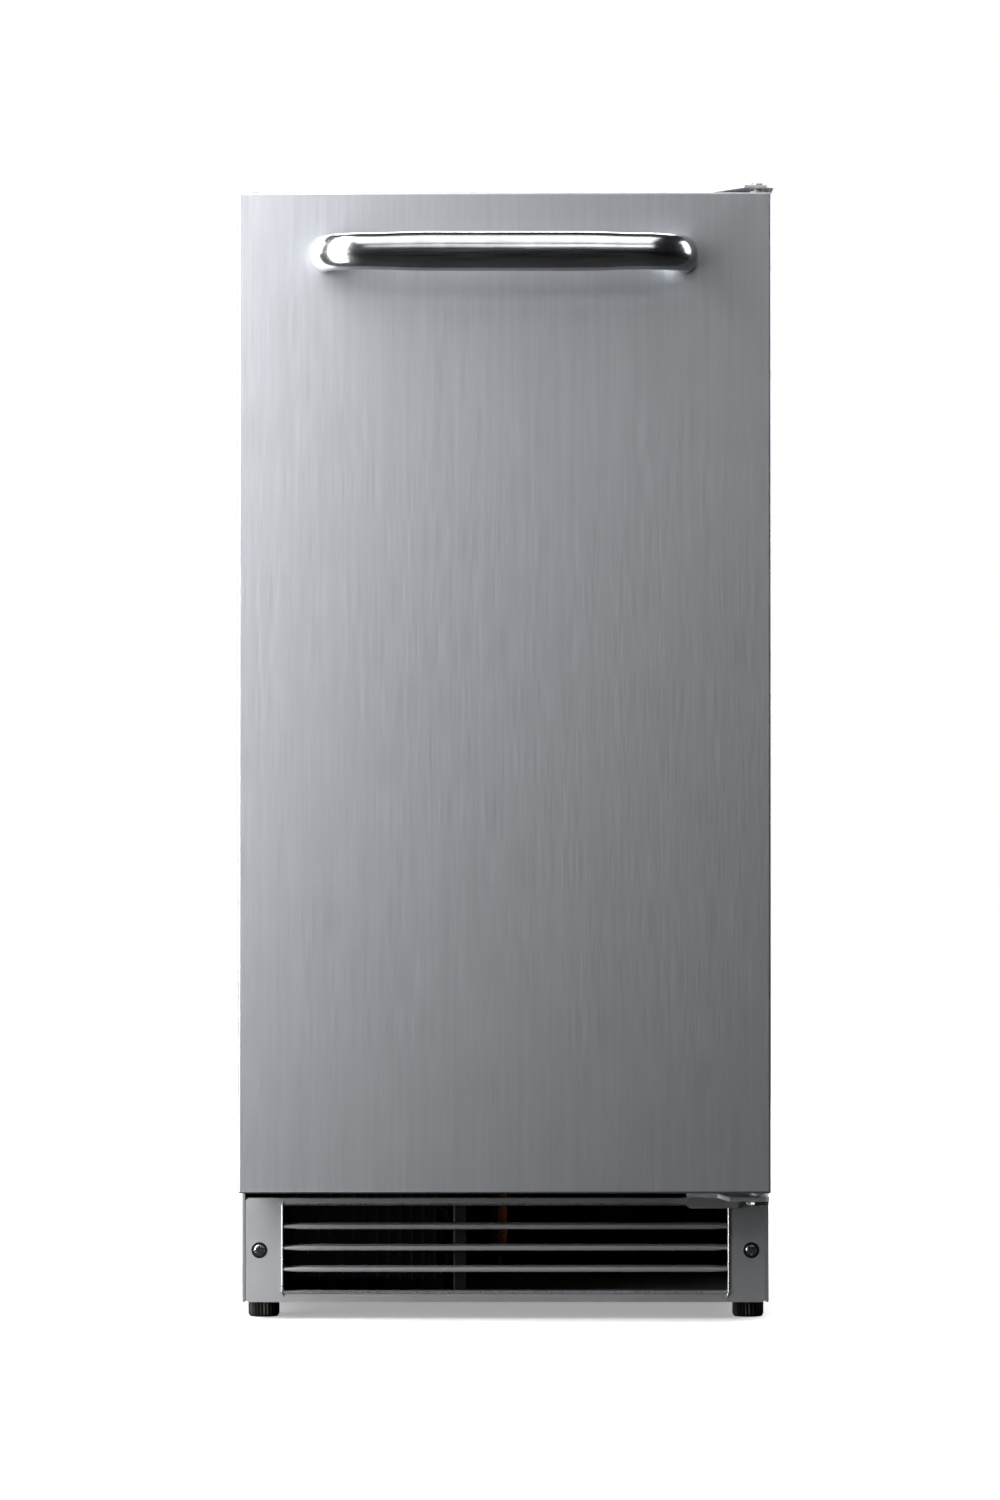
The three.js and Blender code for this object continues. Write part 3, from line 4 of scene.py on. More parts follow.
import bmesh
import bpy
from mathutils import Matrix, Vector


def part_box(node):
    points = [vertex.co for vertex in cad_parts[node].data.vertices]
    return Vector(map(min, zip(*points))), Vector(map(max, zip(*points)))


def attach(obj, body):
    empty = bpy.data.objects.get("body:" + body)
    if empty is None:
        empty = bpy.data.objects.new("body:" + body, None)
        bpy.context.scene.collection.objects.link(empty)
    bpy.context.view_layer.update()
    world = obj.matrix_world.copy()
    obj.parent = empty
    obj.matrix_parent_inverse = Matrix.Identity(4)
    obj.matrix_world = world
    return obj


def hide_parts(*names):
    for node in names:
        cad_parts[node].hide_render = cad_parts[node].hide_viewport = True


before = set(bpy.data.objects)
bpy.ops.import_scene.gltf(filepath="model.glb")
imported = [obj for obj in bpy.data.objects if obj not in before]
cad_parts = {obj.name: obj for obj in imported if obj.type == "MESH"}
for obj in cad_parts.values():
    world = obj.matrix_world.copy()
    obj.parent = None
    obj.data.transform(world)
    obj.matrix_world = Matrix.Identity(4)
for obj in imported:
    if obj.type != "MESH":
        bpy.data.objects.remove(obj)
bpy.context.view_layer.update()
MM = 0.001


# ---------- finishes ----------
def srgb(code):
    """The linear colour of an sRGB hex value, with alpha 1."""
    parts = [int(code[i:i + 2], 16) / 255 for i in (0, 2, 4)]
    linear = [c / 12.92 if c <= 0.04045 else ((c + 0.055) / 1.055) ** 2.4 for c in parts]
    return (*linear, 1)


def add(tree, kind, settings=None, values=None, links=None):
    """Adds a shader node. Settings are its own options, values go on its sockets, and links feed them."""
    made = tree.nodes.new(kind)
    for key, value in (settings or {}).items():
        setattr(made, key, value)
    for key, value in (values or {}).items():
        made.inputs[key].default_value = value
    for key, source in (links or {}).items():
        tree.links.new(source, made.inputs[key])
    return made


def finish(name, **surface):
    """A new material with its principled shader; returns the material, its tree and the shader."""
    material = bpy.data.materials.new(name)
    material.use_nodes = True
    tree = material.node_tree
    shader = tree.nodes["Principled BSDF"]
    for key, value in surface.items():
        shader.inputs[key.replace("_", " ")].default_value = value
    return material, tree, shader


def stretched_noise(tree, per_metre, detail):
    """Noise over the object's own coordinates, with a spacing for each axis."""
    place = add(tree, "ShaderNodeTexCoord")
    scaled = add(tree, "ShaderNodeMapping", values={"Scale": per_metre},
                 links={"Vector": place.outputs["Object"]})
    return add(tree, "ShaderNodeTexNoise", values={"Scale": 1.0, "Detail": detail},
               links={"Vector": scaled.outputs["Vector"]})


def between(tree, source, low, high, out_low, out_high):
    """Maps a range of a pattern to a range of a socket."""
    values = {"From Min": low, "From Max": high, "To Min": out_low, "To Max": out_high}
    return add(tree, "ShaderNodeMapRange", values=values, links={"Value": source}).outputs["Result"]


# The mix node names its number, vector and colour sockets alike, so the colour ones go by their places.
MIX_COLOUR_A, MIX_COLOUR_B, MIX_COLOUR_OUT = 6, 7, 2


def two_tone(tree, source, dark, light, low=0.3, high=0.7):
    """A colour that runs between two hex values as the pattern does."""
    share = between(tree, source, low, high, 0, 1)
    mix = add(tree, "ShaderNodeMix", {"data_type": "RGBA"}, links={"Factor": share})
    mix.inputs[MIX_COLOUR_A].default_value = srgb(dark)
    mix.inputs[MIX_COLOUR_B].default_value = srgb(light)
    return mix.outputs[MIX_COLOUR_OUT]


def bump(tree, shader, source, height_mm, strength):
    """Relief whose full height is given in millimetres."""
    values = {"Distance": height_mm * MM, "Strength": strength}
    made = add(tree, "ShaderNodeBump", values=values, links={"Height": source})
    tree.links.new(made.outputs["Normal"], shader.inputs["Normal"])


def colour_and_gloss(tree, shader, colour, roughness):
    """Feeds a pattern's colour and its roughness to the shader."""
    tree.links.new(colour, shader.inputs["Base Color"])
    tree.links.new(roughness, shader.inputs["Roughness"])


def brushed_stainless(name, grain, dark, light, rough):
    """304 stainless sheet, belt-brushed along one axis: fine streaks that catch the light in long lines."""
    material, tree, shader = finish(name, Metallic=1.0)
    fine = stretched_noise(tree, grain, detail=4.0)
    broad = stretched_noise(tree, tuple(g * 0.2 for g in grain), detail=2.0)
    both = add(tree, "ShaderNodeMath", {"operation": "ADD"},
               links={0: fine.outputs[0], 1: broad.outputs[0]})
    colour_and_gloss(tree, shader, two_tone(tree, both.outputs[0], dark, light, 0.7, 1.3),
                     between(tree, fine.outputs[0], 0.3, 0.7, rough - 0.02, rough + 0.02))
    bump(tree, shader, fine.outputs[0], 0.003, 0.25)
    return material


def polished_steel():
    """Polished 304 bar: a mirror with the faint haze and hairlines that hands and cloths leave."""
    material, tree, shader = finish("polished_steel", Metallic=1.0)
    haze = stretched_noise(tree, (70, 70, 70), detail=5.0)
    lines = stretched_noise(tree, (25, 900, 900), detail=2.0)
    colour_and_gloss(tree, shader, two_tone(tree, haze.outputs[0], "c9cbce", "dcdee0"),
                     between(tree, lines.outputs[0], 0.3, 0.7, 0.16, 0.24))
    bump(tree, shader, lines.outputs[0], 0.004, 0.4)
    return material


def nickel_plate():
    """Nickel-plated steel, barrel-tumbled: bright, with slight marks that break the glint."""
    material, tree, shader = finish("nickel_plate", Metallic=1.0)
    marks = stretched_noise(tree, (900, 900, 900), detail=4.0)
    colour_and_gloss(tree, shader, two_tone(tree, marks.outputs[0], "b9bbbd", "dadcde"),
                     between(tree, marks.outputs[0], 0.3, 0.7, 0.16, 0.3))
    bump(tree, shader, marks.outputs[0], 0.01, 0.4)
    return material


def grained(name, dark, light, rough, per_metre, height, metal=0.0, coat=0.0):
    """Paint or moulded plastic with a fine all-over texture, which breaks the highlight softly."""
    material, tree, shader = finish(name, Metallic=metal, Coat_Weight=coat)
    grain = stretched_noise(tree, (per_metre,) * 3, detail=3.0)
    cloud = stretched_noise(tree, (14, 14, 14), detail=2.0)
    colour_and_gloss(tree, shader, two_tone(tree, cloud.outputs[0], dark, light),
                     between(tree, grain.outputs[0], 0.3, 0.7, rough - 0.06, rough + 0.06))
    bump(tree, shader, grain.outputs[0], height, 0.6)
    return material


def clear_plastic():
    """Clear SAN bin: glassy, faintly blue in its thickness, with light scuffs."""
    material, tree, shader = finish("clear_plastic", Transmission_Weight=0.92, IOR=1.49)
    scuff = stretched_noise(tree, (60, 60, 400), detail=5.0)
    colour_and_gloss(tree, shader, two_tone(tree, scuff.outputs[0], "dfeaf1", "f2f7fa"),
                     between(tree, scuff.outputs[0], 0.45, 0.75, 0.06, 0.24))
    return material


# Belt grain runs upright: about 1 mm across it and 40 mm along it, drawn as coarse as it needs to show.
DOOR_STEEL = brushed_stainless("brushed_stainless_door", (1100, 1100, 26), "bfc2c7", "c9ccd1", 0.48)
# The hinge brackets are brushed from side to side; they are paler than the door as painted light, for the
# brighter light that falls on them.
TRIM_STEEL = brushed_stainless("brushed_stainless_trim_painted_light", (60, 950, 950), "d6d8da", "e6e7e8", 0.5)
HANDLE_STEEL = polished_steel()
SCREW_PLATE = nickel_plate()
# The rolled edge gets a paler, glossier finish than the grille: a painted highlight, a pale outline round
# the louvres.
LIP_PAINTED_HIGHLIGHT = grained("lip_painted_highlight", "c6c8ca", "dcdddf", 0.3, 700, 0.02, metal=0.9)
# Painted shade in the pressed dishes round the two screws: darker than the grille so that they read as
# hollows.
CUP_SHADOW = grained("dished_cup_painted_shade", "26282a", "313335", 0.4, 900, 0.02, metal=0.75)
# Metallic silver paint with a fine orange peel, so that the light spreads wide over it.
GRILLE_PAINT = grained("silver_paint_textured", "bcbfc2", "c8cacd", 0.5, 900, 0.05, metal=0.75)
# Baked powder coat: an even mid grey whose fine pebbling keeps every highlight soft.
CABINET_PAINT = grained("grey_powder_coat", "8a8d90", "8f9295", 0.5, 1100, 0.04, metal=0.2)
# Stoved enamel on pressed steel: near black, with a thin clear gloss over it. On the air divider the same
# black is painted shade, for the dark machine space behind the louvres.
BLACK_PAINT_AND_SHADE = grained("black_enamel_and_painted_shade", "121315", "1b1c1f", 0.35, 500, 0.02, coat=0.3)
# Moulded plastics: a spark-eroded mould leaves the fine grain, and the tint drifts a little over a piece.
BLACK_PLASTIC = grained("black_moulded_nylon", "0d0d0e", "171718", 0.5, 700, 0.03)
GREY_PLASTIC = grained("grey_moulded_abs", "7b7e81", "85888b", 0.45, 900, 0.03)
# Vacuum-formed sheet: smoother than a moulding, with broad soft highlights and a faint ripple.
WHITE_PLASTIC = grained("white_formed_styrene", "d3d5d5", "dcdddd", 0.3, 260, 0.02)
# Unpigmented acetal: milky, a little warm, and slightly waxy.
NATURAL_PLASTIC = grained("natural_acetal", "dcdcd4", "e8e8e2", 0.35, 500, 0.02)
# Flexible vinyl: dull and dark, with almost no highlight.
GASKET = grained("dark_vinyl_gasket", "2a2b2d", "343537", 0.62, 800, 0.03)
# Cut foam: chalky tan, with open cells drawn about 3 mm across so that they show.
FOAM = grained("cut_polyurethane_foam", "cdb877", "dcca91", 0.95, 300, 0.4)
# Die-cast aluminium: pale and even, with the dull bloom of the mould.
CAST_ALUMINIUM = grained("cast_aluminium", "a9acae", "bcbfc1", 0.42, 500, 0.05, metal=1.0)
# Drawn tube: smooth and warm, dulled a little by the air.
COPPER = grained("drawn_copper", "a5603c", "be7a52", 0.3, 120, 0.01, metal=1.0)
# Turned brass: yellow, with bright highlights from the lathe.
BRASS = grained("turned_brass", "a98a49", "c0a263", 0.28, 400, 0.01, metal=1.0)
CLEAR_BIN = clear_plastic()

NODE_FINISH = {
    CABINET_PAINT: ["side_panel_left", "side_panel_right", "top_panel", "rear_panel", "front_rail",
                    "base_pan", "rear_vent_cover"],
    FOAM: ["insulation_foam", "door_foam"],
    WHITE_PLASTIC: ["inner_liner", "door_liner", "evaporator_cover", "fill_cup", "ice_scoop",
                    "evaporator_fan"],
    NATURAL_PLASTIC: ["door_bush_top", "door_bush_bottom", "drive_gear", "fill_tube"],
    GRILLE_PAINT: ["front_grille"],
    SCREW_PLATE: ["grille_screw_left", "grille_screw_right", "top_hinge_pin", "bottom_hinge_pin"],
    TRIM_STEEL: ["top_hinge_bracket", "bottom_hinge_bracket"],
    BLACK_PLASTIC: ["cord_gland", "hinge_hole_plug", "leveling_foot_front_left", "leveling_foot_front_right",
                    "leveling_foot_rear_left", "leveling_foot_rear_right", "relay_cover", "fan_shroud",
                    "condenser_fan", "power_rocker", "thermostat_knob"],
    DOOR_STEEL: ["door_skin"],
    GASKET: ["door_gasket"],
    HANDLE_STEEL: ["door_handle", "mould_heater", "shutoff_arm"],
    # The air divider is black as painted shade, where the machine space behind the louvres lies in shade.
    BLACK_PAINT_AND_SHADE: ["compressor", "condenser_coil", "air_divider"],
    CAST_ALUMINIUM: ["evaporator_coil", "ice_mould", "condenser_fan_motor", "evaporator_fan_motor",
                     "drive_motor"],
    COPPER: ["filter_drier", "discharge_pipe", "suction_pipe"],
    GREY_PLASTIC: ["water_valve", "ice_stripper", "ejector", "control_housing", "control_panel"],
    BRASS: ["motor_pinion"],
    CLEAR_BIN: ["ice_bin"],
}
# Edge rounding in millimetres where it isn't the usual one; a piece at 0 keeps its packed edges.
EDGE_MM = {"insulation_foam": 0, "door_foam": 0, "condenser_coil": 0, "evaporator_coil": 0,
           "drive_gear": 0.15, "motor_pinion": 0.15, "door_liner": 1.6, "inner_liner": 1.2,
           "ice_bin": 0.8, "ice_scoop": 0.8}
USUAL_EDGE_MM = 0.4
WELD_GAP = 0.02 * MM
FLAT_WITHIN = math.radians(0.5)
NODE_EDGE_ANGLE = math.radians(35)


def dress(name, material):
    """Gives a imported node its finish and, where its edges show, a small rounding."""
    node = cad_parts[name]
    node.data.materials.clear()
    node.data.materials.append(material)
    edge = EDGE_MM.get(name, USUAL_EDGE_MM)
    weld = node.modifiers.new("Weld", "WELD")
    weld.merge_threshold = WELD_GAP
    if edge:
        flat = node.modifiers.new("Flat faces", "DECIMATE")
        flat.decimate_type = "DISSOLVE"
        flat.angle_limit = FLAT_WITHIN
        rounding = node.modifiers.new("Edges", "BEVEL")
        rounding.width = edge * MM
        rounding.segments = 2
        rounding.limit_method = "ANGLE"
        rounding.angle_limit = NODE_EDGE_ANGLE
        rounding.harden_normals = False


for material, names in NODE_FINISH.items():
    for name in names:
        dress(name, material)


# ---------- modelled pieces ------------
FACES_FRONT = (math.radians(90), 0, 0)
LIES_FLAT = (0, 0, 0)
ROUNDING_ANGLE = math.radians(40)
# A face looks along an axis when its normal's share of that axis passes this.
ALONG = 0.9
# Two distances that count as the same place, and the length from which an edge counts as long.
TOUCHING = 0.01 * MM
NEAR = 0.1 * MM
LONG_EDGE = 5 * MM


def corners(name):
    """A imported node's low and high corners at rest, in metres."""
    return [Vector(v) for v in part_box(name)]


def add_shape(kind, name, **options):
    """Adds one primitive, alone in the selection."""
    if bpy.context.mode != "OBJECT":
        bpy.ops.object.mode_set(mode="OBJECT")
    bpy.ops.object.select_all(action="DESELECT")
    getattr(bpy.ops.mesh, "primitive_" + kind + "_add")(**options)
    piece = bpy.context.object
    piece.name = name
    piece.data.name = name
    return piece


def settle(piece, size=(1, 1, 1)):
    """Sizes the object, puts its place, turn and size into its mesh, and opens it for editing."""
    piece.scale = size
    bpy.ops.object.transform_apply(location=True, rotation=True, scale=True)
    bpy.ops.object.mode_set(mode="EDIT")
    bpy.ops.mesh.select_mode(type="FACE")


def pick(piece, kind, test):
    """Selects what passes a test of its middle, and of a face's normal or an edge's run."""
    bpy.ops.mesh.select_mode(type={"faces": "FACE", "edges": "EDGE", "verts": "VERT"}[kind])
    bpy.ops.mesh.select_all(action="DESELECT")
    mesh = bmesh.from_edit_mesh(piece.data)
    for part in getattr(mesh, kind):
        if kind == "faces":
            chosen = test(part.calc_center_median(), part.normal)
        elif kind == "edges":
            chosen = test((part.verts[0].co + part.verts[1].co) / 2, part.verts[0].co - part.verts[1].co)
        else:
            chosen = test(part.co, None)
        if chosen:
            part.select_set(True)
    mesh.select_flush_mode()
    bmesh.update_edit_mesh(piece.data)


def select_whole():
    """Selects the whole of the open mesh."""
    bpy.ops.mesh.select_all(action="SELECT")


def stretch(x=0.0, y=0.0, z=0.0):
    """Extrudes what is selected by a distance in metres."""
    bpy.ops.mesh.extrude_context_move(TRANSFORM_OT_translate={"value": (x, y, z)})


def disc(name, points, radius, place, turn=FACES_FRONT):
    """Opens a filled disc, all selected. It faces the front unless it is told to lie flat."""
    piece = add_shape("circle", name, vertices=points, radius=1, fill_type="NGON", location=place,
                      rotation=turn)
    settle(piece, (radius, radius, 1))
    select_whole()
    return piece


def widen(grow, about):
    """Scales what is selected across x and y about a point."""
    bpy.ops.transform.resize(value=(grow, grow, 1), center_override=about)


def climb(steps, about):
    """Extrudes what is selected upwards; each step is its rise in millimetres and its growth."""
    for rise, grow in steps:
        stretch(z=rise * MM)
        widen(grow, about)


def inset_steps(steps):
    """Insets what is selected; each step is its width and its height outwards, in millimetres."""
    for across, out in steps:
        bpy.ops.mesh.inset(thickness=across * MM, depth=out * MM)


def round_off(offset_mm, segments, affect="EDGES"):
    """Bevels what is selected."""
    bpy.ops.mesh.bevel(offset=offset_mm * MM, segments=segments, affect=affect)


def give_wall(piece, thickness_mm):
    """Turns the open shell's faces outwards and gives it a wall inwards from them."""
    select_whole()
    bpy.ops.mesh.normals_make_consistent(inside=False)
    bpy.ops.object.mode_set(mode="OBJECT")
    wall = piece.modifiers.new("Sheet", "SOLIDIFY")
    wall.thickness = thickness_mm * MM
    wall.offset = -1
    bpy.ops.object.modifier_apply(modifier=wall.name)


def shut(piece, material, body, smooth=35, rounding=0.0, segments=2, replaces=()):
    """Ends the editing, rounds the edges, smooths the mesh, and says what it stands for and rides on."""
    bpy.ops.mesh.select_all(action="SELECT")
    bpy.ops.mesh.normals_make_consistent(inside=False)
    bpy.ops.object.mode_set(mode="OBJECT")
    if rounding:
        bevel = piece.modifiers.new("Edges", "BEVEL")
        bevel.width = rounding * MM
        bevel.segments = segments
        bevel.limit_method = "ANGLE"
        bevel.angle_limit = ROUNDING_ANGLE
        bpy.ops.object.modifier_apply(modifier=bevel.name)
    bpy.ops.object.shade_smooth_by_angle(angle=math.radians(smooth))
    flats = piece.modifiers.new("Flat faces stay flat", "WEIGHTED_NORMAL")
    flats.keep_sharp = True
    bpy.ops.object.modifier_apply(modifier=flats.name)
    piece.data.materials.append(material)
    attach(piece, body)
    if replaces:
        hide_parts(*replaces)
    return piece


# Clearance round a hinge bush, and the tool that cuts its hole.
BUSH_CLEARANCE = 0.3 * MM
CUTTER_DEPTH = 40 * MM
CUTTER_POINTS = 48


def bush_hole(piece, bush):
    """Cuts the round hole that a hinge bush passes through."""
    low, high = corners(bush)
    radius = (high.x - low.x) / 2 + BUSH_CLEARANCE
    cutter = add_shape("cylinder", "hole_cutter", vertices=CUTTER_POINTS, radius=radius,
                       depth=CUTTER_DEPTH, location=(low + high) / 2)
    cut = piece.modifiers.new("Bush hole", "BOOLEAN")
    cut.object = cutter
    cut.operation = "DIFFERENCE"
    cut.solver = "EXACT"
    bpy.ops.object.select_all(action="DESELECT")
    piece.select_set(True)
    bpy.context.view_layer.objects.active = piece
    bpy.ops.object.modifier_apply(modifier=cut.name)
    bpy.data.objects.remove(cutter)


DOOR_SHEET_MM = 0.9
DOOR_FRONT_ROUND_MM = 1.8
DOOR_CORNER_ROUND_MM = 1.2
DOOR_FOLD = 20 * MM


def door_sheet():
    """The folded stainless front: a pan with rounded front edges, open at the back."""
    low, high = corners("door_skin")
    piece = add_shape("cube", "door_front_sheet", size=1, location=(low + high) / 2)
    settle(piece, high - low)
    pick(piece, "faces", lambda c, n: n.y > ALONG)
    bpy.ops.mesh.delete(type="FACE")
    pick(piece, "edges", lambda c, d: c.y < low.y + MM)
    round_off(DOOR_FRONT_ROUND_MM, 5)
    pick(piece, "edges", lambda c, d: abs(d.y) > DOOR_FOLD)
    round_off(DOOR_CORNER_ROUND_MM, 3)
    give_wall(piece, DOOR_SHEET_MM)
    bush_hole(piece, "door_bush_top")
    bush_hole(piece, "door_bush_bottom")
    bpy.ops.object.mode_set(mode="EDIT")
    return shut(piece, DOOR_STEEL, "door", replaces=["door_skin"])


HANDLE_THICK = 18 * MM
HANDLE_END_TALL = 26 * MM
HANDLE_BEND = 30 * MM
HANDLE_POINTS = 48
BEND_STEPS = 18
# The bar swells over this share of its straight run at either end, in so many stages.
SWELL_SHARE = 0.22
SWELL_STAGES = 8


def handle_bar():
    """An oval bar, drawn out of the door, bent round, along, and back in."""
    low, high = corners("door_handle")
    z = (low.z + high.z) / 2
    seat = high.y
    reach = high.x - HANDLE_THICK / 2
    front = low.y + HANDLE_THICK / 2
    grow = (high.z - low.z) / HANDLE_END_TALL
    turn = front + HANDLE_BEND
    run = 2 * (reach - HANDLE_BEND)
    swell = SWELL_SHARE * run

    def bend(x):
        """Bends the bar a quarter turn about an upright line."""
        bpy.ops.mesh.spin(steps=BEND_STEPS, angle=math.radians(-90), center=(x, turn, z), axis=(0, 0, 1))

    def draw_on(before, after):
        """Draws the bar one stage along, from one step of its swelling to the next."""
        stretch(x=swell / SWELL_STAGES)
        taller = swelling(after, grow) / swelling(before, grow)
        bpy.ops.transform.resize(value=(1, 1, taller), center_override=(0, front, z))

    piece = add_shape("circle", "bar_handle", vertices=HANDLE_POINTS, radius=0.5, fill_type="NGON",
                      location=(-reach, seat, z), rotation=FACES_FRONT)
    settle(piece, (HANDLE_THICK, HANDLE_END_TALL, 1))
    select_whole()
    stretch(y=turn - seat)
    bend(-reach + HANDLE_BEND)
    for step in range(SWELL_STAGES):
        draw_on(step, step + 1)
    stretch(x=run - 2 * swell)
    for step in range(SWELL_STAGES, 0, -1):
        draw_on(step, step - 1)
    bend(reach - HANDLE_BEND)
    stretch(y=seat - turn)
    select_whole()
    bpy.ops.mesh.remove_doubles(threshold=TOUCHING)
    return shut(piece, HANDLE_STEEL, "door", smooth=50, replaces=["door_handle"])


def swelling(step, grow):
    """The bar's height against its ends, eased from 1 to its full growth."""
    share = step / SWELL_STAGES
    return 1 + (grow - 1) * (3 * share ** 2 - 2 * share ** 3)


# Any small width will do here, because the new face is sized afterwards.
FIRST_INSET = 2 * MM


def drawn_plate(name, low, high, y):
    """An upright plate of one face, which looks forward."""
    middle = Vector(((low.x + high.x) / 2, y, (low.z + high.z) / 2))
    piece = add_shape("plane", name, size=1, location=middle, rotation=FACES_FRONT)
    settle(piece, (high.x - low.x, high.z - low.z, 1))
    select_whole()
    return piece


def inner_face(piece, reach_x, reach_z, middle):
    """Insets the open plate's one face, then sizes the new face to half widths about a middle."""
    select_whole()
    bpy.ops.mesh.inset(thickness=FIRST_INSET)
    mesh = bmesh.from_edit_mesh(piece.data)
    face = [f for f in mesh.faces if f.select][0]
    xs = [v.co.x for v in face.verts]
    zs = [v.co.z for v in face.verts]
    centre = face.calc_center_bounds()
    grow = (2 * reach_x / (max(xs) - min(xs)), 1, 2 * reach_z / (max(zs) - min(zs)))
    bpy.ops.transform.resize(value=grow, center_override=centre)
    bpy.ops.transform.translate(value=Vector(middle) - centre)


GRILLE_OPENING_HALF = 159.5 * MM
GRILLE_OPENING_Z = (20.6 * MM, 82 * MM)
GRILLE_CORNER_MM = 2.5
GRILLE_SHEET_MM = 0.8
GRILLE_FOLD = 6.5 * MM
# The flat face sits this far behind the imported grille's foremost point, to leave room for its lip.
GRILLE_FACE_BACK = 1.2 * MM
# The lip's width and height, the steps that round it, and how far its inner wall runs back.
LIP_REACH = 1.5 * MM
LIP_OUT = 1.1 * MM
LIP_STEPS = 6
LIP_WALL = 9 * MM


def grille_face(low):
    """How far forward the grille's flat face is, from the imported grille's low corner."""
    return low.y + GRILLE_FACE_BACK


def grille_frame():
    """The pressed grille surround, with a rolled lip round its opening and the edges folded back."""
    low, high = corners("front_grille")
    front = grille_face(low)
    opening_low, opening_high = GRILLE_OPENING_Z
    piece = drawn_plate("grille_surround", low, high, front)
    round_off(GRILLE_CORNER_MM, 4, affect="VERTICES")
    reach_z = (opening_high - opening_low) / 2 + LIP_REACH
    middle = (0, front, (opening_low + opening_high) / 2)
    inner_face(piece, GRILLE_OPENING_HALF + LIP_REACH, reach_z, middle)
    for i in range(LIP_STEPS):
        before, after = (math.pi * (i + j) / LIP_STEPS for j in (0, 1))
        bpy.ops.mesh.inset(thickness=LIP_REACH / 2 * (math.cos(before) - math.cos(after)),
                           depth=LIP_OUT * (math.sin(after) - math.sin(before)))
    stretch(y=LIP_WALL)
    bpy.ops.mesh.delete(type="FACE")
    bpy.ops.mesh.select_mode(type="EDGE")
    bpy.ops.mesh.select_all(action="DESELECT")
    mesh = bmesh.from_edit_mesh(piece.data)
    for edge in mesh.edges:
        if edge.is_boundary and all(abs(v.co.y - front) < TOUCHING for v in edge.verts):
            edge.select_set(True)
    bmesh.update_edit_mesh(piece.data)
    stretch(y=GRILLE_FOLD)
    give_wall(piece, GRILLE_SHEET_MM)
    bpy.ops.object.mode_set(mode="EDIT")
    done = shut(piece, GRILLE_PAINT, "cabinet", rounding=0.3, replaces=["front_grille"])
    # The faces of the rolled lip take the paler lip finish: a painted highlight round the opening.
    done.data.materials.append(LIP_PAINTED_HIGHLIGHT)
    for face in done.data.polygons:
        centre = face.center
        beside = abs(abs(centre.x) - GRILLE_OPENING_HALF - LIP_REACH / 2) < LIP_REACH / 2
        over = min(abs(centre.z - opening_low + LIP_REACH / 2), abs(centre.z - opening_high - LIP_REACH / 2))
        if centre.y < front - NEAR and (beside or over < LIP_REACH):
            face.material_index = 1
    return done


LOUVRES = 3
LOUVRE_THICK = 3.6 * MM
LOUVRE_NOSE_MM = 1.0
LOUVRE_BACK_GAP = 3.5 * MM
# Each end is drawn in to a share of the thickness over its last stretch, and the back is thinned and raised.
LOUVRE_END = 12 * MM
LOUVRE_END_SHARE = 0.62
LOUVRE_BACK_SHARE = 0.5
LOUVRE_BACK_RISE = 1.2 * MM


def louvre(index):
    """One blade: a rounded nose, thinner at the back, drawn in a little towards both ends."""
    low, high = corners("front_grille")
    front = grille_face(low)
    opening_low, opening_high = GRILLE_OPENING_Z
    z = opening_low + (opening_high - opening_low) / (LOUVRES + 1) * index
    deep = high.y - front - LOUVRE_BACK_GAP
    reach = GRILLE_OPENING_HALF - LOUVRE_END
    piece = add_shape("cube", f"louvre_blade_{index}", size=1, location=(0, front + deep / 2, z))
    settle(piece, (2 * reach, deep, LOUVRE_THICK))
    for side in (-1, 1):
        pick(piece, "faces", lambda c, n: n.x * side > ALONG)
        stretch(x=side * LOUVRE_END)
        bpy.ops.transform.resize(value=(1, 1, LOUVRE_END_SHARE), center_override=(0, 0, z))
    pick(piece, "verts", lambda c, n: c.y > front + deep - NEAR)
    bpy.ops.transform.resize(value=(1, 1, LOUVRE_BACK_SHARE), center_override=(0, 0, z))
    bpy.ops.transform.translate(value=(0, 0, LOUVRE_BACK_RISE))
    pick(piece, "edges", lambda c, d: c.y < front + NEAR and abs(d.x) > LONG_EDGE)
    round_off(LOUVRE_NOSE_MM, 5)
    return shut(piece, GRILLE_PAINT, "cabinet", smooth=50)


SCREW_RADIUS = 3.9 * MM
SCREW_POINTS = 48
CUP_RADIUS = 5.8 * MM
CUP_POINTS = 40
# How far the cup and the head stand off the grille, and the head's upright wall.
CUP_PROUD = 0.05 * MM
HEAD_PROUD = 0.1 * MM
HEAD_WALL = 0.3 * MM
CUP_STEPS = ((0.25, 0.22), (0.3, 0.03), (0.25, -0.2))
HEAD_STEPS = ((0.2, 0.22), (0.35, 0.17), (0.5, 0.12), (0.6, 0.06), (1.75, 0.03))
# The cross recess is cut into the faces that stand at least so far out of the seat.
CROSS_FROM = 0.75 * MM
CROSS_HALF_ARM = 0.5 * MM
CROSS_DEEP = 0.7 * MM


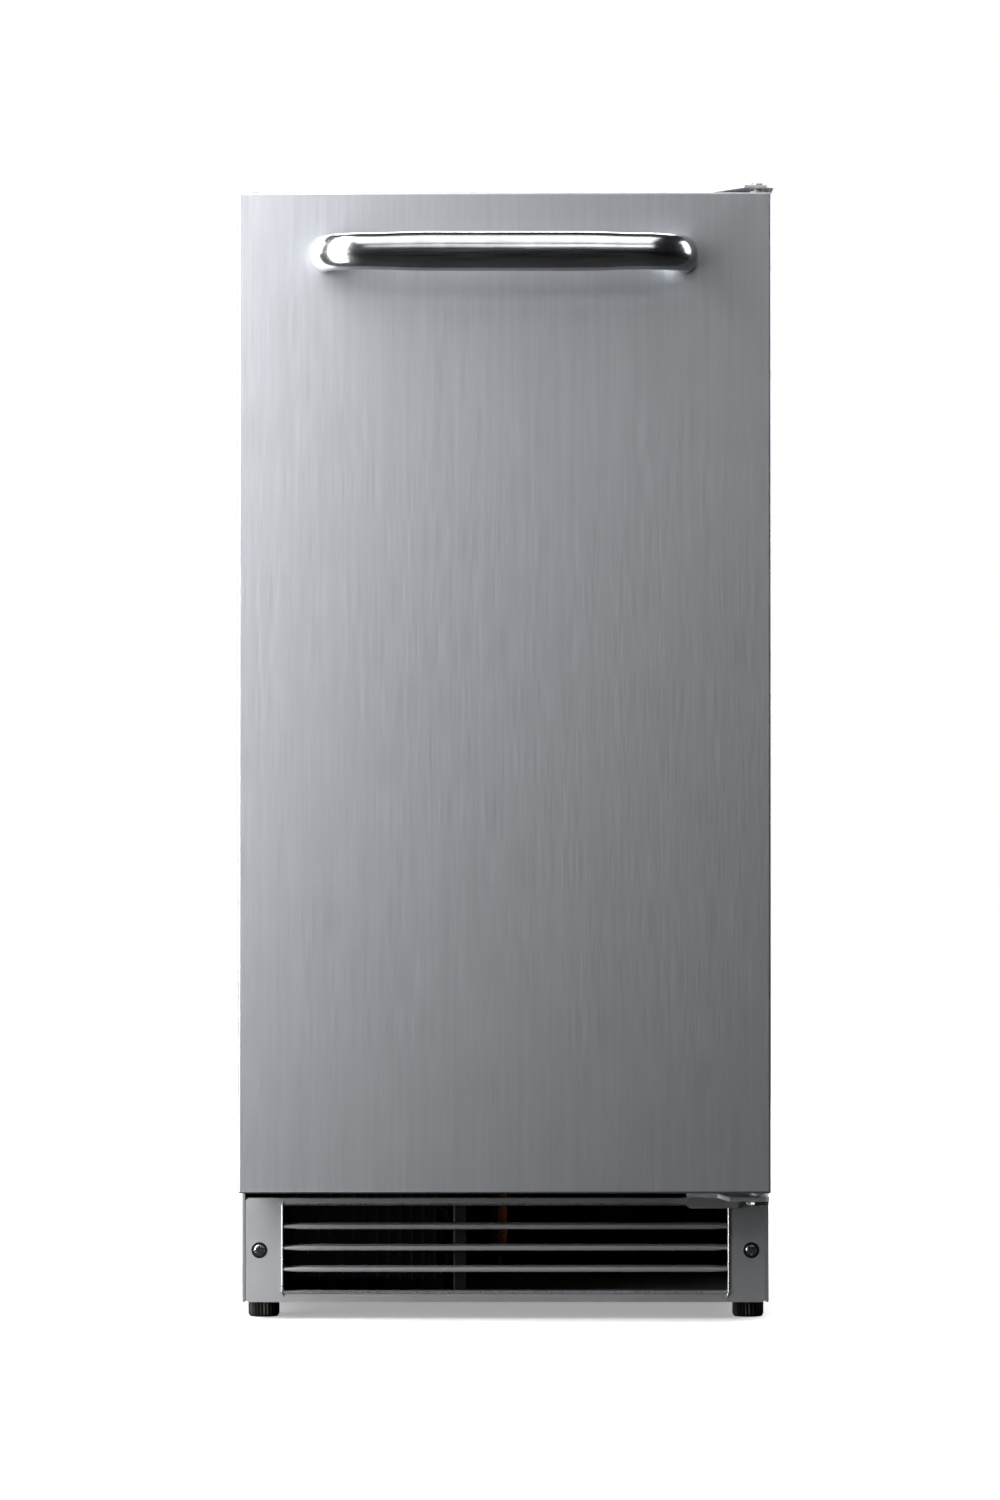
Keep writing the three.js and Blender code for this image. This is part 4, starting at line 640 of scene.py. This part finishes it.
def grille_screw(side):
    """A domed head with a cross recess, seated in a dished cup in the grille."""
    word = "left" if side < 0 else "right"
    low, high = corners("grille_screw_" + word)
    x, z = (low.x + high.x) / 2, (low.z + high.z) / 2
    face = grille_face(corners("front_grille")[0])
    cup = disc(f"screw_cup_{word}", CUP_POINTS, CUP_RADIUS, (x, face - CUP_PROUD, z))
    inset_steps(CUP_STEPS)
    # The cup's dark finish is painted shade, so that it reads as a hollow.
    shut(cup, CUP_SHADOW, "cabinet", smooth=60)
    seat = face - HEAD_PROUD
    head = disc(f"pan_screw_{word}", SCREW_POINTS, SCREW_RADIUS, (x, seat, z))
    stretch(y=-HEAD_WALL)
    inset_steps(HEAD_STEPS)
    pick(head, "faces", lambda c, n: n.y < -0.5 and c.y < seat - CROSS_FROM
         and min(abs(c.x - x), abs(c.z - z)) < CROSS_HALF_ARM)
    stretch(y=CROSS_DEEP)
    return shut(head, SCREW_PLATE, "cabinet", smooth=32, replaces=["grille_screw_" + word])


FOOT_POINTS = 56
PAD_TALL = 12.3 * MM
PAD_SOLE_SHARE = 0.86
PAD_TOP_SHARE = 0.93
# Steps up the bottom and the top edge of the pad: rise in millimetres, and growth.
PAD_BOTTOM_STEPS = ((1.2, 1.1), (1.0, 1.04))
PAD_TOP_STEPS = ((0.6, 0.95),)
# The ribs are the pad's outer points; every other one is drawn in to this share.
RIB_FROM = 0.9
RIB_SHARE = 0.93
STUD_RADIUS = 3.9 * MM
THREADS = 16
THREAD_ROOT_SHARE = 0.86


def foot(end, side):
    """A knurled nylon pad with its threaded stud."""
    low, high = corners(f"leveling_foot_{end}_{side}")
    middle = (low + high) / 2
    radius = (high.x - low.x) / 2
    top = low.z + PAD_TALL
    about = (middle.x, middle.y, low.z)
    piece = disc(f"knurled_foot_{end}_{side}", FOOT_POINTS, radius * PAD_SOLE_SHARE, about, LIES_FLAT)
    climb(PAD_BOTTOM_STEPS, about)
    stretch(z=PAD_TALL - sum(rise for rise, _ in PAD_BOTTOM_STEPS + PAD_TOP_STEPS) * MM)
    climb(PAD_TOP_STEPS, about)
    bpy.ops.mesh.inset(thickness=radius * PAD_TOP_SHARE - STUD_RADIUS)
    half_thread = (high.z - top) / THREADS / 2 / MM
    climb([(half_thread, THREAD_ROOT_SHARE), (half_thread, 1 / THREAD_ROOT_SHARE)] * THREADS, about)

    def on_rib(co, _):
        out = Vector((co.x - middle.x, co.y - middle.y, 0))
        count = round(math.atan2(out.y, out.x) / (2 * math.pi / FOOT_POINTS))
        return out.length > radius * RIB_FROM and count % 2 == 0

    pick(piece, "verts", on_rib)
    widen(RIB_SHARE, about)
    return shut(piece, BLACK_PLASTIC, f"foot_{end}_{side}", smooth=25,
                replaces=[f"leveling_foot_{end}_{side}"])


# Columns and rows of hoods, and the way from one to the next.
HOODS = (4, 6)
HOOD_PITCH = (72 * MM, 14 * MM)
# The first hood's corner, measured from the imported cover's left and lower edges.
HOODS_LEFT = 57.7 * MM
HOODS_UP = 92 * MM
HOOD_LONG = 46 * MM
HOOD_TALL = 8 * MM
HOOD_OUT = 4 * MM
HOOD_SUNK = 0.2 * MM
HOOD_SHEET = 0.7 * MM
HOOD_HOLLOW_SHARE = 0.7
HOOD_BROW_MM = 3
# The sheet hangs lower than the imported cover, so that no light comes in over the base pan.
SHEET_DROP = 3.3 * MM


def rear_vents():
    """The rear cover: a flat sheet, and rows of pressed hoods that open downwards."""
    low, high = corners("rear_vent_cover")
    lowest_hood = low.z + HOODS_UP
    low.z -= SHEET_DROP
    sheet = add_shape("cube", "rear_cover_sheet", size=1, location=(low + high) / 2)
    settle(sheet, high - low)
    shut(sheet, CABINET_PAINT, "cabinet", rounding=0.3, replaces=["rear_vent_cover"])
    place = (low.x + HOODS_LEFT + HOOD_LONG / 2, high.y + HOOD_OUT / 2 - HOOD_SUNK,
             lowest_hood + HOOD_TALL / 2)
    hood = add_shape("cube", "rear_vent_hoods", size=1, location=place)
    settle(hood, (HOOD_LONG, HOOD_OUT, HOOD_TALL))
    pick(hood, "faces", lambda c, n: n.z < -ALONG)
    bpy.ops.mesh.inset(thickness=HOOD_SHEET)
    stretch(z=HOOD_TALL * HOOD_HOLLOW_SHARE)
    pick(hood, "edges", lambda c, d: abs(d.x) > LONG_EDGE and c.z > lowest_hood + HOOD_TALL - NEAR
         and c.y > high.y + MM)
    round_off(HOOD_BROW_MM, 5)
    bpy.ops.object.mode_set(mode="OBJECT")
    for count, step in zip(HOODS, ((HOOD_PITCH[0], 0, 0), (0, 0, HOOD_PITCH[1]))):
        rows = hood.modifiers.new("Rows", "ARRAY")
        rows.count = count
        rows.use_relative_offset = False
        rows.use_constant_offset = True
        rows.constant_offset_displace = step
        bpy.ops.object.modifier_apply(modifier=rows.name)
    bpy.ops.object.mode_set(mode="EDIT")
    return shut(hood, CABINET_PAINT, "cabinet")


KNOB_POINTS = 48
KNOB_GAP = 0.3 * MM
SKIRT_TALL = 1.4 * MM
SKIRT_WIDE = 0.8 * MM
DIAL_TALL = 5.6 * MM
DIAL_FACE_STEPS = ((0.5, 0.4), (0.8, 0.1), (0.4, -0.3))
# The grooves are the dial's outer points from its skirt's front edge on; every other one is drawn in.
GROOVE_FROM = 1.3 * MM
GROOVE_BAND = 1.2 * MM
GROOVE_SHARE = 0.95
POINTER_WIDE = 2.8 * MM
POINTER_FROM = 6 * MM
POINTER_SHORTER = 3.4 * MM
POINTER_FRONT_SHARES = (0.7, 1, 0.94)
STEM_POINTS = 24
STEM_RADIUS = 3 * MM
STEM_STEPS = ((0.4, 0),)


def thermostat():
    """A ribbed dial with a pointer bar across its face and a stem through the panel."""
    low, high = corners("thermostat_knob")
    middle = (low + high) / 2
    radius = (high.x - low.x) / 2
    face = corners("control_panel")[0].y - KNOB_GAP
    about = (middle.x, face, middle.z)
    dial = disc("ribbed_dial", KNOB_POINTS, radius, about)
    stretch(y=-SKIRT_TALL)
    bpy.ops.mesh.inset(thickness=SKIRT_WIDE)
    stretch(y=-DIAL_TALL)
    inset_steps(DIAL_FACE_STEPS)

    def on_groove(co, _):
        count = round(math.atan2(co.z - middle.z, co.x - middle.x) / (2 * math.pi / KNOB_POINTS))
        far_out = (co - Vector(about)).xz.length > radius - GROOVE_BAND
        return count % 2 == 0 and co.y < face - GROOVE_FROM and far_out

    pick(dial, "verts", on_groove)
    bpy.ops.transform.resize(value=(GROOVE_SHARE, 1, GROOVE_SHARE), center_override=about)
    shut(dial, BLACK_PLASTIC, "knob", smooth=30, replaces=["thermostat_knob"])
    root = face - POINTER_FROM
    pointer = add_shape("cube", "dial_pointer", size=1, location=(middle.x, (low.y + root) / 2, middle.z))
    settle(pointer, (POINTER_WIDE, root - low.y, 2 * radius - POINTER_SHORTER))
    pick(pointer, "faces", lambda c, n: n.y < -ALONG)
    bpy.ops.transform.resize(value=POINTER_FRONT_SHARES, center_override=(middle.x, 0, middle.z))
    shut(pointer, WHITE_PLASTIC, "knob", rounding=0.4, segments=3)
    stem = disc("dial_stem", STEM_POINTS, STEM_RADIUS, (middle.x, high.y, middle.z))
    inset_steps(STEM_STEPS)
    select_whole()
    stretch(y=face - high.y)
    return shut(stem, BLACK_PLASTIC, "knob", smooth=40)


CAN_POINTS = 72
CAN_FLOOR = 24.5 * MM
CAN_FLOOR_RADIUS_MM = 61 * 0.78
# Up the can's outline: the rise of each step and the radius it reaches, in millimetres.
CAN_OUTLINE = ((3, 52), (5, 57), (8, 60), (63, 61), (0.8, 63), (4, 63), (0.8, 60.6), (14, 60), (12, 57),
               (10, 52), (9, 45), (7, 36), (5, 25), (2.5, 12))
PLATE_MIDDLE_Z = 23.6 * MM
PLATE_NARROWER = 2 * MM
PLATE_DEEP = 66 * MM
PLATE_THICK = 2 * MM
PLATE_CORNER_MM = 9
PIPE_POINTS = 32
STUB_RADIUS = 4.4 * MM
STUB_LOW = 140 * MM
STUB_GAP = 0.8 * MM
STUB_STEPS = ((0.5, 0.5), (0.7, 0))
GROMMET_POINTS = 32
GROMMET_RADIUS = 7 * MM
GROMMET_REACH = (61 * MM, 26 * MM)
GROMMET_NECK = 0.78
GROMMET_STEPS = ((2.2, 1.0), (0.8, GROMMET_NECK), (2, 1.0), (0.8, 1 / GROMMET_NECK), (1.6, 1.0), (0.4, 0.92))


def compressor_can():
    """Two drawn steel shells welded at a rolled seam, on a foot plate with rubber grommets."""
    low, high = corners("compressor")
    middle = (low + high) / 2
    about = (middle.x, middle.y, CAN_FLOOR)
    can = disc("compressor_can", CAN_POINTS, CAN_FLOOR_RADIUS_MM * MM, about, LIES_FLAT)
    reach = CAN_FLOOR_RADIUS_MM
    for rise, wide in CAN_OUTLINE:
        climb([(rise, wide / reach)], about)
        reach = wide
    shut(can, BLACK_PAINT_AND_SHADE, "cabinet", smooth=50, replaces=["compressor"])
    plate = add_shape("cube", "compressor_foot_plate", size=1, location=(middle.x, middle.y, PLATE_MIDDLE_Z))
    settle(plate, (high.x - low.x - PLATE_NARROWER, PLATE_DEEP, PLATE_THICK))
    pick(plate, "edges", lambda c, d: abs(d.z) > PLATE_THICK / 2)
    round_off(PLATE_CORNER_MM, 5)
    shut(plate, BLACK_PAINT_AND_SHADE, "cabinet", rounding=0.4)
    pipe_low, pipe_high = corners("suction_pipe")
    pipe = (pipe_low + pipe_high) / 2
    stub = disc("compressor_suction_stub", PIPE_POINTS, STUB_RADIUS, (pipe.x, pipe.y, STUB_LOW), LIES_FLAT)
    stretch(z=pipe_low.z - STUB_GAP - STUB_LOW)
    inset_steps(STUB_STEPS)
    shut(stub, COPPER, "cabinet", smooth=50)
    for number, (side, end) in enumerate(((-1, -1), (1, -1), (1, 1), (-1, 1)), 1):
        place = (middle.x + side * GROMMET_REACH[0], middle.y + end * GROMMET_REACH[1], low.z)
        cushion = disc(f"compressor_grommet_{number}", GROMMET_POINTS, GROMMET_RADIUS, place, LIES_FLAT)
        climb(GROMMET_STEPS, place)
        shut(cushion, GASKET, "cabinet", smooth=40)


GASKET_WIDE = 12 * MM
# Through the bellows: the share of the seal's depth in each step, and how far in it then turns, mm.
BELLOWS_STEPS = ((0.3, 0.0), (0.06, 0.8), (0.05, 1.0), (0.1, 0.0))
# The two slopes up to its narrower face: width in mm, and share of the depth.
FACE_SLOPES = ((0.9, 0.2), (0.8, 0.14))


def gasket():
    """The magnetic seal, mitred at its corners: a root in the door, a bellows, and a narrower face."""
    low, high = corners("door_gasket")
    deep = high.y - low.y
    piece = drawn_plate("bellows_gasket", low, high, low.y)
    bpy.ops.mesh.flip_normals()
    bpy.ops.mesh.inset(thickness=GASKET_WIDE)
    bpy.ops.mesh.delete(type="FACE")
    select_whole()
    for share, inwards in BELLOWS_STEPS:
        stretch(y=share * deep)
        if inwards:
            bpy.ops.mesh.inset(thickness=inwards * MM, depth=0)
    for across, share in FACE_SLOPES:
        bpy.ops.mesh.inset(thickness=across * MM, depth=share * deep)
    return shut(piece, GASKET, "door", smooth=50, replaces=["door_gasket"])


door_sheet()
handle_bar()
grille_frame()
for number in range(1, LOUVRES + 1):
    louvre(number)
for across in (-1, 1):
    grille_screw(across)
for end in ("front", "rear"):
    for side in ("left", "right"):
        foot(end, side)
gasket()
rear_vents()
thermostat()
compressor_can()


# ---------- studio ----------
ROOM_LIGHT = 0.04
# name, place, what it points at (metres), width and height, watts
LIGHTS = [
    ("key_left", (-0.62, -0.56, 0.6), (-0.05, -0.24, 0.4), (0.35, 1.9), 29),
    ("wide_over_front", (0.0, -1.45, 2.1), (0.0, -1.45, 0.0), (1.5, 1.7), 13),
    ("high_front", (0.5, -3.0, 1.9), (0.1, -0.25, 0.8), (1.4, 0.5), 5),
    ("rim_behind", (0.0, 1.1, 2.3), (0.0, 0.0, 0.8), (1.6, 0.6), 22),
    ("back_fill", (0.7, 2.2, 1.2), (0.0, 0.2, 0.45), (1.4, 1.4), 34),
    ("right_fill", (2.4, 0.9, 1.5), (0.1, 0.1, 0.4), (1.2, 1.4), 40),
    ("left_fill", (-2.4, 0.9, 1.4), (-0.1, 0.1, 0.4), (1.2, 1.4), 14),
]


def camera_sees(tree, otherwise, seen):
    """Mixes two shaders: what the camera sees, and what lights the room by bounce."""
    path = add(tree, "ShaderNodeLightPath")
    links = {0: path.outputs["Is Camera Ray"], 1: otherwise, 2: seen}
    return add(tree, "ShaderNodeMixShader", links=links).outputs[0]


def studio():
    """A dark room with a white backdrop: a tall soft box near the left, a wide one and a high one over
    the front, a rim light and a fill behind, and a fill at either side."""
    scene = bpy.context.scene
    scene.view_settings.view_transform = "Standard"
    world = bpy.data.worlds.new("studio_world")
    scene.world = world
    world.use_nodes = True
    tree = world.node_tree
    backdrop = tree.nodes["Background"]
    backdrop.inputs["Color"].default_value = srgb("ffffff")
    room = add(tree, "ShaderNodeBackground", values={"Color": srgb("8a8e94"), "Strength": ROOM_LIGHT})
    both = camera_sees(tree, room.outputs[0], backdrop.outputs[0])
    tree.links.new(both, tree.nodes["World Output"].inputs["Surface"])
    for name, place, aim, size, watts in LIGHTS:
        soft_box(name, place, aim, size, watts)
    floor()


def soft_box(name, place, aim, size, watts):
    """A rectangular soft light, turned to its aim and out of the camera's sight."""
    bpy.ops.object.light_add(type="AREA", location=place)
    light = bpy.context.object
    light.name = name
    light.data.shape = "RECTANGLE"
    light.data.size, light.data.size_y = size
    light.data.energy = watts
    light.visible_camera = False
    light.rotation_euler = (Vector(aim) - Vector(place)).to_track_quat("-Z", "Y").to_euler()


PAPER_SIZE = 60
# The paper's own glow grows from the machine outwards: from and to these distances and strengths.
GLOW_REACH = (0.25, 2.2)
GLOW_STRENGTH = (0.35, 1.0)


def floor():
    """White paper that fades into the backdrop; it throws little light back up at the machine."""
    bpy.ops.mesh.primitive_plane_add(size=PAPER_SIZE, location=(0, 0, 0))
    plane = bpy.context.object
    plane.name = "studio_floor"
    material, tree, paper = finish("floor_paper", Roughness=0.9)
    paper.inputs["Base Color"].default_value = srgb("f6f6f6")
    paper.inputs["Emission Color"].default_value = srgb("ffffff")
    place = add(tree, "ShaderNodeTexCoord")
    away = add(tree, "ShaderNodeVectorMath", {"operation": "LENGTH"}, links={0: place.outputs["Object"]})
    glow = between(tree, away.outputs["Value"], *GLOW_REACH, *GLOW_STRENGTH)
    tree.links.new(glow, paper.inputs["Emission Strength"])
    dull = add(tree, "ShaderNodeBsdfDiffuse", values={"Color": srgb("262626")})
    both = camera_sees(tree, dull.outputs[0], paper.outputs[0])
    tree.links.new(both, tree.nodes["Material Output"].inputs["Surface"])
    plane.data.materials.append(material)


SENSOR_WIDTH = 36
CAMERA_AWAY = 4.5
CAMERA_RIGHT = 0.05
CAMERA_HEIGHT = 0.408
# The height of the view at the door's front, and how far the view's middle is over the door's lower edge.
VIEW_TALL = 1063.8 * MM
DOOR_FOOT_TO_MIDDLE = 314.5302 * MM
DOOR_OFF_CENTRE = 3.2 * MM


def camera():
    """Square on to the front, a little right of centre, at about half the machine's height."""
    bpy.ops.object.camera_add()
    view = bpy.context.object
    bpy.context.scene.camera = view
    low, _ = corners("door_skin")
    view.location = (CAMERA_RIGHT, low.y - CAMERA_AWAY, CAMERA_HEIGHT)
    view.rotation_euler = FACES_FRONT
    view.data.sensor_width = SENSOR_WIDTH
    view.data.lens = SENSOR_WIDTH * CAMERA_AWAY / VIEW_TALL
    view.data.clip_end = 100
    # The lens is shifted back, so that the door stands in the middle of the view, a hair to the right.
    view.data.shift_x = (-CAMERA_RIGHT - DOOR_OFF_CENTRE) / VIEW_TALL
    view.data.shift_y = (low.z + DOOR_FOOT_TO_MIDDLE - CAMERA_HEIGHT) / VIEW_TALL


studio()
camera()
